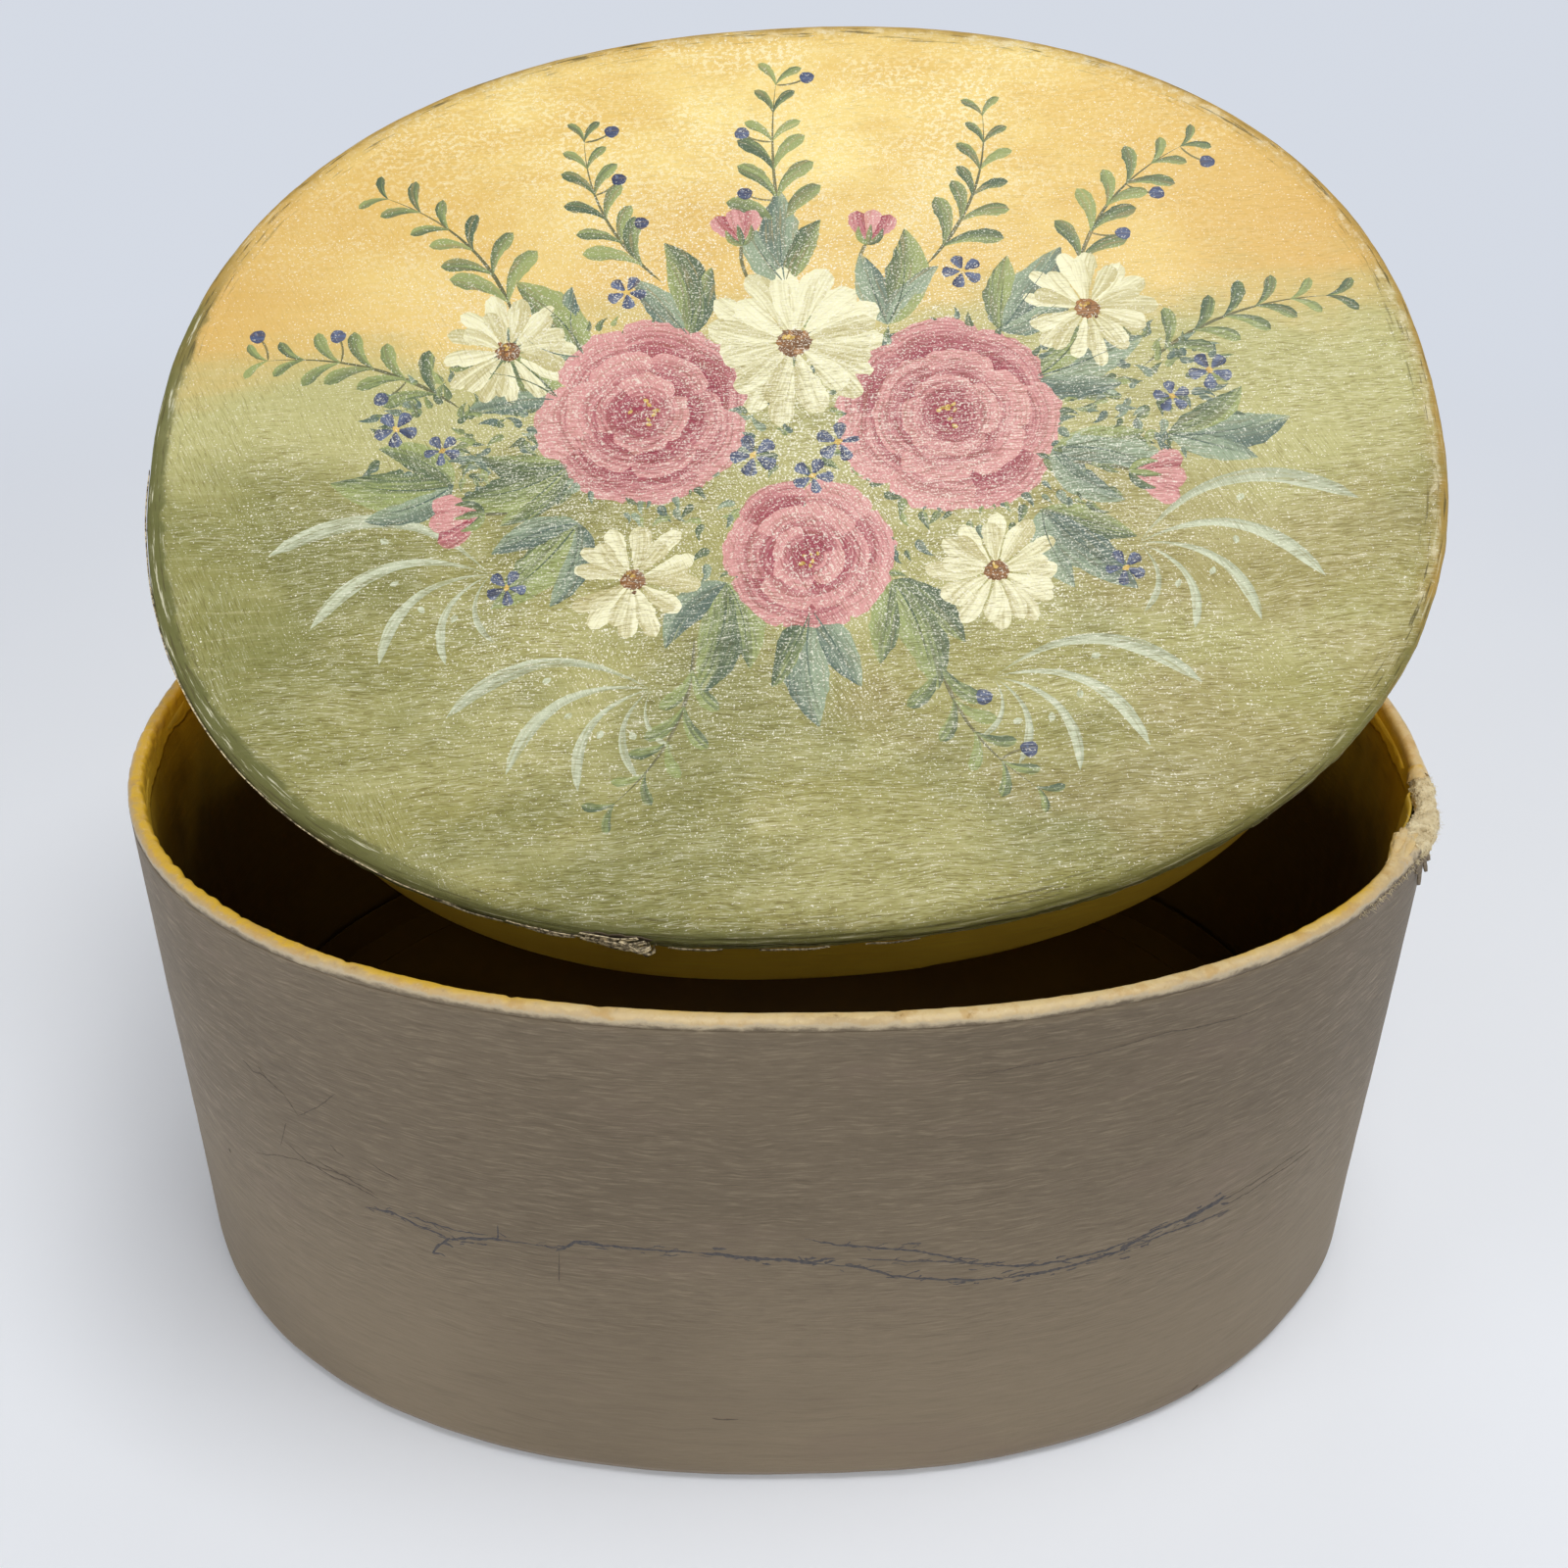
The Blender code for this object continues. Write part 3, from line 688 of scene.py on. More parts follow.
def lid_ground():
    """The lid's face, and the darker, cracked paint on the roll at its edge, with painted highlights along
    the crease and on the cracks' lips.
    """
    n = Nodes("lid_ground")
    place = n.lid_place()
    weave = lid_weave(n, place)
    across = n.attribute("across")
    crack = cracks_round(n, place, across)
    fine = n.noise(place, 150, 5, 0.65)
    reach = n.add(across, n.swing(fine, 0.0052))
    rolled = edge_tone(n, place, crack)
    tone = ground_tone(n, place, weave)
    tone = n.tint(tone, reach, -0.0042, 0.0, rolled, 0.35)
    low = n.less(n.times(n.axis(place, "X"), -1.5), n.times(n.axis(place, "Y"), 0.5))
    band = n.times(n.step(reach, -0.0026, -0.0012), n.step(low, 0.145, 0.180))
    tone = n.mix(n.times(band, 0.70), tone, (0.105, 0.112, 0.032))
    # Painted glints and ridge light and shade, left off the dark band
    tone = n.mix(band, glinting(n, tone, weave), tone)
    tone = n.tint(tone, reach, -0.0008, 0.0010, rolled, 0.85)
    # Painted highlight: a pale line along the crease round the face, on its upper right where the light
    # falls
    side = n.add(n.times(n.axis(place, "X"), 0.8), n.times(n.axis(place, "Y"), 0.6))
    side = n.add(side, n.swing(n.noise(place, 60, 3), 0.10))
    crease = n.times(n.step(reach, -0.0020, -0.0012), n.step(reach, 0.0004, -0.0006))
    crease = n.times(crease, n.step(side, 0.055, 0.090))
    crease = n.times(crease, n.step(n.noise(place, 260, 5, 0.7), 0.46, 0.60))
    tone = n.mix(n.times(crease, 0.45), tone, (0.88, 0.80, 0.56))
    border = n.step(across, -0.0060, -0.0005)
    deep = n.times(border, n.step(crack, 0.44, 0.36))
    tone = n.mix(n.times(deep, 0.80), tone, (0.085, 0.070, 0.024))
    # Painted highlight on the raised lips beside the cracks in the border
    lit = n.times(border, n.step(crack, 0.58, 0.66))
    lit = n.times(lit, n.add(0.25, n.times(band, 0.45)))
    tone = n.mix(lit, tone, (0.80, 0.78, 0.58))
    rough = n.between(border, 0.50, 0.75)
    normal = n.bump(n.times(crack, border), 0.00030, n.bump(weave[0], 0.00010))
    return n.finish(tone, rough, normal, specular=0.3)


def edge_tone(n, place, crack):
    """The dull paint round the lid's edge: ochre at the top and the right, olive below and at the left."""
    patch = n.noise(place, (30, 30, 160), 4, 0.6)
    side = n.add(n.times(n.axis(place, "Y"), 6.5), n.times(n.axis(place, "X"), 3.0))
    side = n.add(side, n.swing(patch, 1.8))
    tone = n.tint(EDGE_OLIVE, side, -0.25, 0.25, EDGE_OCHRE)
    low = n.less(n.times(n.axis(place, "X"), -1), n.times(n.axis(place, "Y"), 1))
    tone = n.tint(tone, low, 0.085, 0.130, (0.105, 0.115, 0.040), 0.55)
    return n.tint(tone, crack, 0.56, 0.66, (0.56, 0.50, 0.30), 0.35)


def lid_edge_paint():
    """The strip round the lid's edge, cracked lengthwise and rubbed to grey paper."""
    n = Nodes("lid_edge_paint")
    place = n.lid_place()
    crack = cracks_round(n, place, n.axis(place, "Z"))
    fine = n.noise(place, (800, 800, 1200), 4)
    tone = edge_tone(n, place, crack)
    tone = n.tint(tone, crack, 0.44, 0.36, (0.060, 0.045, 0.016), 0.9)
    torn_edge = n.step(n.add(n.axis(place, "Z"), n.swing(fine, 0.0016)), 0.0004, -0.0004)
    tone = n.mix(n.times(torn_edge, 0.65), tone, GREY_PAPER)
    return n.finish(tone, 0.6, n.bump(fine, 0.0001, n.bump(crack, 0.0004)), specular=0.35)


def stroke_paint(name, low, high, thin):
    """Paint from a brush loaded with two tones, streaked by its bristles and thin where it runs dry."""
    n = Nodes(name)
    place = n.lid_place()
    weave = lid_weave(n, place)
    seed = n.attribute("tone")
    inputs = {0: n.times(n.attribute("run"), 110), 1: n.times(n.attribute("side"), 1700)}
    inputs[2] = n.times(seed, 60)
    bristle = n.new("TexNoise", {"Vector": n.new("CombineXYZ", inputs), "Scale": 1.0, "Detail": 4.0})
    loose = n.less(bristle, 0.5)
    share = n.add(n.attribute("load"), n.times(loose, 1.9))
    share = n.add(share, n.swing(seed, 0.5))
    tone = n.tint(low, share, 0.05, 0.95, high)
    worn = n.add(n.attribute("dry"), n.times(loose, 1.6))
    ground = ground_tone(n, place, weave)
    tone = n.tint(tone, worn, 0.55, 1.05, ground, 0.85)
    tone = n.mix(n.times(n.step(bristle, 0.50, 0.30), thin), tone, ground)
    # Painted glints and ridge light and shade over the stroke
    tone = glinting(n, tone, weave, 0.62)
    return varnished(n, tone, weave, bristle)


def plain_mark(name, colour, dark):
    """A small mark, with a grain so that it isn't one flat colour."""
    n = Nodes(name)
    place = n.place()
    grain = n.noise(place, 1100, 4, 0.65)
    tone = n.tint(dark, grain, 0.38, 0.62, colour)
    tone = n.mix(n.times(n.attribute("tone"), 0.5), tone, dark)
    return n.finish(tone, 0.75, n.bump(grain, 0.00008), specular=0.3)


# Box

def hoop(name, profile, columns, body, material):
    """A closed strip round the oval. profile takes the places and gives rows of outset and height."""
    along = np.arange(columns) * PERIMETER / columns
    points = np.stack([placed(along, outset, height) for outset, height in profile(along)])
    if body == "lid":
        points = on_lid(points)
    faces = grid_faces(len(points), columns, close_rows=True, close_columns=True)
    return add_piece(name, points, faces, body, material)


SKIN_COLUMNS = 760
SKIN_ROWS = 92
SKIN_TOP = RIM_TOP - 0.0026
SKIN_INSET = 0.00018
SKIN_FLARE_DROP = 0.0075
FOOT_LIFT = 0.0002
# Places and reaches of upright creases in the skin, and how far they fade in from foot and rim
CREASES = ((0.752, 0.0016), (0.493, 0.0012), (0.660, 0.0010), (0.585, 0.0012))
CREASE_FADE = 0.025
CREASE_DEPTH = 0.00007
# Seed, depth and reaches along and up of each ripple in the skin and in the lining
SKIN_RIPPLES = ((36, 0.00010, 0.050, 0.070), (37, 0.00004, 0.016, 0.012))
LINING_RIPPLES = ((41, 0.00016, 0.024, 0.060), (42, 0.00010, 0.009, 0.030))
# Where the wall's joint has sprung open inside, how far along, and by how much
BURST_PLACE = -0.0440
BURST_REACH = 0.0150
BURST_SPRING = 0.0009
LINING_COLUMNS = 520
LINING_ROWS = 46


def torn(along):
    """1 where the rim is torn, falling to 0 at the ends of the tear."""
    return 1 - ease(2 * np.abs(away_from(along, TEAR_PLACE)) / TEAR_LENGTH)


def skin_top(along):
    """The height at which the outer skin ends: under the binding, and ragged where that is torn."""
    ragged = np.abs(wave(31, along, 0.0030)) * 0.0012 + np.abs(wave(32, along, 0.0010)) * 0.0006
    return SKIN_TOP - hump(along, TEAR_PLACE, 0.020) * (0.0018 + ragged)


def rippled(level, ripples, along, height):
    """A level with each of the given ripples added to it."""
    for seed, depth, reach_along, reach_up in ripples:
        level = level + depth * ripple(seed, along, height, reach_along, reach_up)
    return level


def skin_face(along, height):
    """Outset of the skin's painted face."""
    relief = rippled(-SKIN_INSET, SKIN_RIPPLES, along, height)
    for place, reach in CREASES:
        fade = ease(height / CREASE_FADE) * ease((RIM_TOP - height) / CREASE_FADE)
        relief = relief - CREASE_DEPTH * hump(along, place, reach) * fade
    flare = torn(along) * TEAR_FLARE * ease((height - RIM_TOP + SKIN_FLARE_DROP) / 0.0070)
    return skin_shift(along) + relief + 0.85 * flare


def make_wall_skin(material):
    """The painted outer skin, from the recess at the foot up to the binding."""

    def profile(along):
        top = skin_top(along)
        lift = wave(34, along, 0.050) * ease(2 * np.abs(wave(35, along, 0.2)))
        foot = WALL_FOOT + FOOT_LIFT + 0.00030 * lift
        rows = []
        for share in np.linspace(0, 1, SKIN_ROWS):
            height = foot + (top - foot) * share
            rounded = 0.00030 * (1 - np.sqrt(np.clip(share * 50, 0, 1)))
            rows.append((skin_face(along, height) - rounded, height))
        outset, height = rows[-1]
        rows.append((outset - 0.00020, height + 0.00008))
        rows.append((outset - SKIN_PAPER, height - 0.0002))
        rows.append((outset - SKIN_PAPER, height - 0.0050))
        outset, height = rows[0]
        rows.append((outset - SKIN_PAPER, height + 0.0040))
        rows.append((outset - SKIN_PAPER, height))
        return rows

    skin = hoop("wall_skin", profile, SKIN_COLUMNS, "box", material)
    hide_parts("wall_cover_paper")


def make_wall_lining(material):
    """The ochre lining, a little wrinkled, up to where the binding covers it."""

    def profile(along):
        burst = hump(along, BURST_PLACE, BURST_REACH)
        top = RIM_TOP - 0.0035 + 0.0016 * burst
        rows = []
        for share in np.linspace(0, 1, LINING_ROWS):
            height = LINING_FOOT + (top - LINING_FOOT) * share
            relief = rippled(0.0, LINING_RIPPLES, along, height)
            shift = lining_shift(along) + BURST_SPRING * burst * ease((height - RIM_TOP + 0.0120) / 0.0110)
            rows.append((MOUTH_FACE + 0.00010 + relief + shift, height))
        rows.append((LINING_OUTER + shift, rows[-1][1]))
        rows.append((LINING_OUTER + lining_shift(along), rows[0][1]))
        return rows

    lining = hoop("wall_lining", profile, LINING_COLUMNS, "box", material)
    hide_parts("wall_lining_paper")


def make_band(material):
    """The band of board between skin and lining, burst open at the top where the rim is torn."""

    def profile(along):
        burst = hump(along, BURST_PLACE, BURST_REACH)
        top = RIM_TOP - 0.0032 - 0.0012 * burst
        sprung = BURST_SPRING * burst
        outer, inner = BAND_OUTER + band_shift(along), BAND_INNER + band_shift(along)
        foot = WALL_FOOT + FOOT_LIFT + 0 * along
        low = top - 0.010
        inside = [(inner, foot), (inner, low), (inner + sprung, top)]
        return inside + [(outer + sprung, top), (outer, low), (outer, foot)]

    band = hoop("wall_board", profile, LINING_COLUMNS, "box", material)
    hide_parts("wall_band")


# Binding over the rim

BINDING_COLUMNS = 1500
BINDING_TURN = 21
BINDING_MIDDLE = -0.00176
BINDING_HALF = 0.00158
BINDING_TALL = 0.00212
BINDING_DEPTH = 0.0022
BINDING_FACE = 0.0016
# Radius of its top, over which the lumps are spread
BINDING_ROUND = 0.0018
# Place and reach of the two stretches where it is most uneven
BINDING_LEFT = (0.450, 0.130)
BINDING_RIGHT = (-0.100, 0.060)
# The groove between the plies at its near end: depth, and the angle over the rim and its spread
GROOVE_DEPTH = 0.00110
GROOVE_ANGLE = 1.62
GROOVE_SPREAD = 0.17
# How far the ochre shows on top, at places along the wall from the tear round the back to the tear
OCHRE_PLACES = (-0.030, 0.060, 0.200, 0.330, 0.420, 0.500, 0.560, 0.600, 0.660, 0.700, 0.735, 0.762)
OCHRE_SHARES = (0.10, 0.55, 0.70, 0.85, 1.15, 1.10, 0.50, 0.30, 0.25, 0.80, 0.30, 0.05)
# Places of small nicks in its inner edge, and place, reach and depth of the dents in its top
NICKS = (0.3650, 0.3840, 0.3980, 0.4090, 0.4230, 0.4330, 0.4475, 0.4560, 0.4720, 0.4910, 0.5170, 0.5480)
NICK_REACH = 0.0012
DENTS = (
    (0.5630, 0.0016, 1.0),
    (0.6120, 0.0014, 1.0),
    (0.4400, 0.0030, 0.7),
    (-0.0220, 0.0010, 0.8),
    (0.7140, 0.0014, 0.8),
)


def binding_profile(along):
    """The binding's section, from its outer foot over the rim to its inner foot, then back beneath."""
    near = hump(along, NEAR_END, 0.017)
    far = hump(along, FAR_END, 0.010)
    left = hump(along, *BINDING_LEFT)
    right = hump(along, *BINDING_RIGHT)
    lively = 0.35 + 0.95 * left + 0.9 * near + 0.5 * right
    half = BINDING_HALF + 0.00010 * wave(51, along, 0.030) + 0.00010 * lively * wave(52, along, 0.009)
    half = half + 0.00008 * left * wave(61, along, 0.004)
    nick = sum(hump(along, place, NICK_REACH) for place in NICKS)
    half = half + 0.0003 * near + 0.0001 * far - 0.0002 * hump(along, 0.005, 0.040)
    middle = BINDING_MIDDLE + 0.00007 * wave(53, along, 0.040) - 0.00055 * near - 0.0001 * far
    tall = BINDING_TALL + 0.00010 * wave(54, along, 0.035) + 0.00009 * lively * wave(55, along, 0.006)
    dent = sum(deep * hump(along, place, reach) for place, reach, deep in DENTS)
    tall = tall - 0.00025 * dent - 0.00012
    shift = band_shift(along)
    base = RIM_TOP - BINDING_DEPTH
    outer_foot = base - BINDING_FACE
    rows, folds = [], []
    face = skin_face(along, base + 0 * along) - 0.00005 - 0.85 * TEAR_FLARE * torn(along)
    for share in np.linspace(0, 1, 5)[:-1]:
        rows.append((face - 0.00040 * (1 - share), outer_foot + (base - outer_foot) * share))
        folds.append(0.10)
    for angle in np.linspace(0, math.pi, BINDING_TURN):
        high = angle * BINDING_ROUND
        lump = 0.00005 * ripple(56, along, high, 0.0060, 0.006)
        lump = lump + 0.00003 * ripple(57, along, high, 0.0022, 0.003)
        lump = lump * lively + 0.00012 * near * ripple(63, along, 2 * high, 0.0045, 0.0018)
        across = signed_power(math.cos(angle), 0.72)
        rise = math.sin(angle) ** 0.80
        groove = near ** 1.5 * GROOVE_DEPTH * bell(angle, GROOVE_ANGLE, GROOVE_SPREAD)
        outset = middle + (half + lump) * across + shift
        if across > 0:
            outset = outset + across ** 3 * (face - (middle + half + shift))
        else:
            outset = outset + across * (0.00024 * left * wave(62, along, 0.0070) - 0.00035 * nick)
        rows.append((outset, base + (tall + 2 * lump - 0.00022 * nick) * rise - groove))
        folds.append(0.15 + 0.57 * angle / math.pi)
    inner_foot = BINDING_FOOT + 0.0016 + 0.0010 * wave(58, along, 0.030) + 0.0005 * wave(59, along, 0.006)
    for share in np.linspace(0, 1, 9)[1:]:
        crimp = -0.00006 * ripple(60, along, share * 0.007, 0.010, 0.010) * share
        outset = (middle - half) * (1 - share) + (MOUTH_FACE - 0.00012) * share + crimp
        rows.append((outset + shift, base + (inner_foot - base) * share))
        folds.append(0.72 + 0.28 * share)
    rows.append((rows[-1][0] + 0.0004, rows[-1][1] + 0.0001))
    rows.append((middle - 0.0006 + shift, base - 0.0004))
    rows.append((middle + 0.0004 + shift, base - 0.0004))
    rows.append((rows[0][0] - 0.0003, outer_foot + 0.0001))
    return rows, folds + [1.0, 0.9, 0.2, 0.1]


def make_binding(material):
    """The hand-folded strip over the rim, uneven all the way, with its two torn ends."""
    along = np.linspace(FAR_END, NEAR_END + PERIMETER, BINDING_COLUMNS)
    rows, folds = binding_profile(along)
    points = np.stack([placed(along, outset, height) for outset, height in rows])
    count = len(rows)
    draw = np.random.default_rng(5)
    slant = np.linspace(1.1, -1.1, count)
    for column, step in ((0, 1), (-1, -1)):
        ahead = points[:, column + step] - points[:, column]
        jag = 0.5 * slant + draw.uniform(-0.7, 0.7, count)
        points[:, column] += ahead * jag[:, None]
    faces = grid_faces(count, BINDING_COLUMNS, close_rows=True)
    faces.append([row * BINDING_COLUMNS for row in range(count)])
    faces.append([(row + 1) * BINDING_COLUMNS - 1 for row in reversed(range(count))])
    spread = np.ones((count, BINDING_COLUMNS))
    fold = spread * np.array(folds)[:, None]
    ochre = spread * np.interp(along, OCHRE_PLACES, OCHRE_SHARES)
    values = {"fold": fold, "ochre": ochre}
    strip = add_piece("rim_binding", points, faces, "box", material, values)
    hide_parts("rim_binding_strip")


# Tear

PULP_COLUMNS = 250
PULP_SIDES = 64
PULP_SECTIONS = (
    # place along the wall, the torn pulp's outer and inner edge there, and its half height
    (-0.0600, 0.0006, -0.0004, 0.0009),
    (-0.0585, 0.0011, -0.0022, 0.0019),
    (-0.0565, 0.0016, -0.0038, 0.0024),
    (-0.0540, 0.0020, -0.0039, 0.0026),
    (-0.0510, 0.0022, -0.0032, 0.0026),
    (-0.0470, 0.0022, -0.0027, 0.0025),
    (-0.0440, 0.0018, -0.0024, 0.0024),
    (-0.0410, 0.0010, -0.0023, 0.0022),
    (-0.0380, 0.0013, -0.0029, 0.0023),
    (-0.0340, 0.0012, -0.0034, 0.0022),
    (-0.0315, 0.0005, -0.0035, 0.0018),
    (-0.0300, -0.0004, -0.0034, 0.0012),
)
PULP_HOLES = (
    # place along the wall, outset, reach
    (-0.0533, -0.0003, 0.0011),
    (-0.0478, -0.0016, 0.0006),
    (-0.0395, -0.0002, 0.0005),
    (-0.0440, 0.0010, 0.0006),
)
# Lumps and grains per metre in its surface, and how deep they and the holes go
PULP_LUMPS = 340
PULP_GRAINS = 2100
PULP_LUMP_DEPTH = 0.00052
PULP_GRAIN_DEPTH = 0.00010
PULP_HOLE_DEPTH = 0.0013
PULP_FIBRES = 520
PULP_CRUMBS = 520
FRINGE_FIBRES = 150
FIBRE_RADIUS = 0.00005
# Thickness of the torn sheets
FLAP_PAPER = 0.00030
PLY_PAPER = 0.00042
FLAKE_PAPER = 0.00026
FRAY_PAPER = 0.00020


def make_pulp(material):
    """The burst edge of the board: a felted ridge of pulp, with crumbs and short fibres on it."""
    places, *edges = zip(*PULP_SECTIONS)
    along = np.linspace(places[0], places[-1], PULP_COLUMNS)[:, None]
    turn = np.linspace(0, 2 * math.pi, PULP_SIDES, endpoint=False)
    outer, inner, tall = (np.interp(along, places, edge) for edge in edges)
    middle, wide = (outer + inner) / 2, (outer - inner) / 2
    across, over = signed_power(np.cos(turn), 0.75), signed_power(np.sin(turn), 0.75)
    centre = RIM_TOP - 0.0003 - tall
    outset = middle + wide * across
    height = centre + tall * over
    pit = 0
    for place, spot, reach in PULP_HOLES:
        gap = np.hypot(along - place, outset - spot) / reach
        pit = pit + (1 - ease(gap)) * np.clip(over, 0, 1)
    grid = placed(along, outset, height)
    out = unit(grid - placed(along, middle, centre))
    push = np.empty(grid.shape[:2])
    for row, line in enumerate(grid):
        for side, spot in enumerate(line):
            spot = Vector(spot)
            lump = noise.fractal(spot * PULP_LUMPS, 0.9, 2.1, 3, noise_basis="PERLIN_ORIGINAL")
            grain = noise.noise(spot * PULP_GRAINS) + 0.6 * noise.noise(spot * (2 * PULP_GRAINS))
            push[row, side] = PULP_LUMP_DEPTH * lump + PULP_GRAIN_DEPTH * grain
    grid = grid + out * (push - 0.00005 - PULP_HOLE_DEPTH * np.minimum(pit, 1.2))[..., None]
    heap = Heap()
    # Its tone is painted shade in the holes and on the ridge's underside
    heap.add(grid, np.clip(pit, 0, 1) * 0.9 + 0.35 * np.clip(-over, 0, 1), closed=True)
    draw = random.Random(11)
    for _ in range(PULP_FIBRES):
        row = draw.randrange(4, PULP_COLUMNS - 4)
        side = draw.randrange(-8, PULP_SIDES // 2 + 2) % PULP_SIDES
        start, away = grid[row, side], out[row, side]
        strand = fibre(start - away * 0.0002, away, draw.uniform(0.0003, 0.0011), draw, FIBRE_RADIUS)
        heap.add(strand, draw.uniform(0.0, 0.2), closed=True)
    for _ in range(PULP_CRUMBS):
        row = draw.randrange(3, PULP_COLUMNS - 3)
        side = draw.randrange(-10, PULP_SIDES // 2 + 4) % PULP_SIDES
        lump = crumb(grid[row, side], draw.uniform(0.00010, 0.00030), draw)
        heap.add(lump, draw.uniform(0.0, 0.35), closed=True)
    for _ in range(FRINGE_FIBRES):
        spot = np.array([NEAR_END - 0.030 * draw.random() ** 1.4])
        height = np.array([RIM_TOP - draw.uniform(0.0016, 0.0032)])
        start = placed(spot, skin_face(spot, height), height)[0]
        lean = placed(spot, 0.010, height - 0.004)[0] - placed(spot, 0.0, height + 0.004)[0]
        strand = fibre(start, unit(lean), draw.uniform(0.0004, 0.0013), draw, FIBRE_RADIUS)
        heap.add(strand, draw.uniform(0.0, 0.3), closed=True)
    heap.piece("torn_pulp", "box", "pasteboard", material)


def fibre(start, away, length, draw, radius):
    """A thin curling strand that leaves a surface."""
    bend = np.array([draw.uniform(-1, 1) for _ in range(3)])
    lean = unit(away + 0.9 * np.array([draw.uniform(-1, 1) for _ in range(3)]))
    share = np.linspace(0, 1, 6)[:, None]
    path = start + length * (lean * share + 0.45 * bend * share ** 2)
    return tube(path, np.linspace(radius * draw.uniform(0.7, 1.2), radius * 0.4, 6), 4)


def crumb(middle, size, draw):
    """A small uneven lump, as rings from one tip to the other."""
    turn = np.linspace(0, 2 * math.pi, 6, endpoint=False)
    rings = []
    for angle in np.linspace(0.35, math.pi - 0.35, 4):
        reach = size * math.sin(angle) * np.array([draw.uniform(0.7, 1.3) for _ in turn])
        up = 0 * turn + size * math.cos(angle)
        rings.append(np.stack([reach * np.cos(turn), reach * np.sin(turn), up], -1))
    spin = np.array(Euler([draw.uniform(0, math.pi) for _ in range(3)]).to_matrix())
    return middle + np.stack(rings) @ spin.T


def sheet(heap, grid, thick, tone, **values):
    """A thin sheet given by a grid of points, with its own thickness and closed edges."""
    down = unit(np.cross(np.gradient(grid, axis=0), np.gradient(grid, axis=1)))
    under = grid - down * thick
    wrapped = np.concatenate([grid, under[:, ::-1]], axis=1)
    for key, value in values.items():
        values[key] = np.tile(np.broadcast_to(value, grid.shape[:2]), 2)
    heap.add(wrapped, tone, closed=True, **values)


def make_flap(material):
    """The far strip's torn end, curled up over the pulp."""
    share = np.linspace(0, 1, 14)[None, :]
    across = np.linspace(-1, 1, 13)[:, None]
    along = FAR_END + 0.0034 - 0.0052 * share - 0.0007 * across * share
    middle = -0.0019 - 0.0001 * share
    half = 0.00155 + 0.00030 * share ** 2
    outset = middle + half * across
    height = RIM_TOP - 0.00030 - 0.0016 * np.abs(across) ** 2.6 + 0.00035 * share - 0.0010 * share ** 6
    height = height + 0.00012 * np.sin(9 * share + 3 * across)
    height = np.minimum(height, RIM_TOP - 0.00004)
    heap = Heap()
    fold = 0.42 - 0.12 * across + 0.16 * share
    ochre = 0.15 + 0.5 * share ** 2
    sheet(heap, placed(along, outset, height), FLAP_PAPER, 0.0, fold=fold, ochre=ochre)
    heap.piece("torn_flap", "box", "rim_paper", material)


PLIES = (
    # inner and outer edge of a ply at the near strip's torn end, its reach, how much ochre it shows
    (-0.0044, -0.0024, 0.0020, 0.05),
    (-0.0022, -0.0005, 0.0010, 0.20),
)


def make_plies(material):
    """The near strip's torn end, split into two plies with a groove between them."""
    heap = Heap()
    for index, (inner, outer, reach, ochre) in enumerate(PLIES):
        share = np.linspace(0, 1, 16)[None, :]
        across = np.linspace(0, 1, 9)[:, None]
        ragged = 0.0005 * np.sin(17 * across + 2 * index) + 0.0003 * np.sin(41 * across + index)
        along = NEAR_END - 0.0125 + (0.0125 + reach + ragged) * share
        spread = 0.25 + 0.75 * ease(share * 1.6)
        outset = (inner + outer) / 2 + (outer - inner) * (across - 0.5) * spread + 0.0002 * (1 - share)
        height = RIM_TOP - 0.00062 + 0.00046 * ease(share * 1.5) - 0.0020 * np.abs(across - 0.5) ** 2.2
        height = height - 0.00025 * share ** 8 + 0.00005 * np.sin(13 * share + 5 * across)
        fold = 0.50 + 0.10 * (0.5 - across) + 0 * share
        sheet(heap, placed(along, outset, height), PLY_PAPER, 0.0, fold=fold, ochre=ochre)
    heap.piece("torn_plies", "box", "rim_paper", material)


HANGING = (
    # place along the wall, how far it hangs, how far it stands off, its width
    (-0.0588, 0.0052, 0.0007, 0.0014),
    (-0.0570, 0.0030, 0.0012, 0.0012),
    (-0.0606, 0.0018, 0.0003, 0.0016),
    (-0.0550, 0.0016, 0.0010, 0.0014),
)
HANGING_TOP = RIM_TOP - 0.0042


def make_flakes(material):
    """Slivers of painted skin that hang from the near side of the tear."""
    heap = Heap()
    for place, hang, stand, width in HANGING:
        share = np.linspace(0, 1, 10)[:, None]
        across = np.linspace(-1, 1, 5)[None, :]
        half = width / 2 * (1 - 0.55 * share ** 2) * (1 + 0.22 * np.sin(13 * share + 900 * place))
        along = place + half * across - 0.0003 * share
        height = HANGING_TOP - hang * share + 0 * across
        face = skin_face(np.full(10, place), height[:, 0])[:, None]
        outset = face + 0.0002 + stand * share ** 0.8 + 0.0002 * across
        sheet(heap, placed(along, outset, height), FLAKE_PAPER, 0.0)
    heap.piece("torn_flakes", "box", "taupe_paper", material)


# Marks on the wall

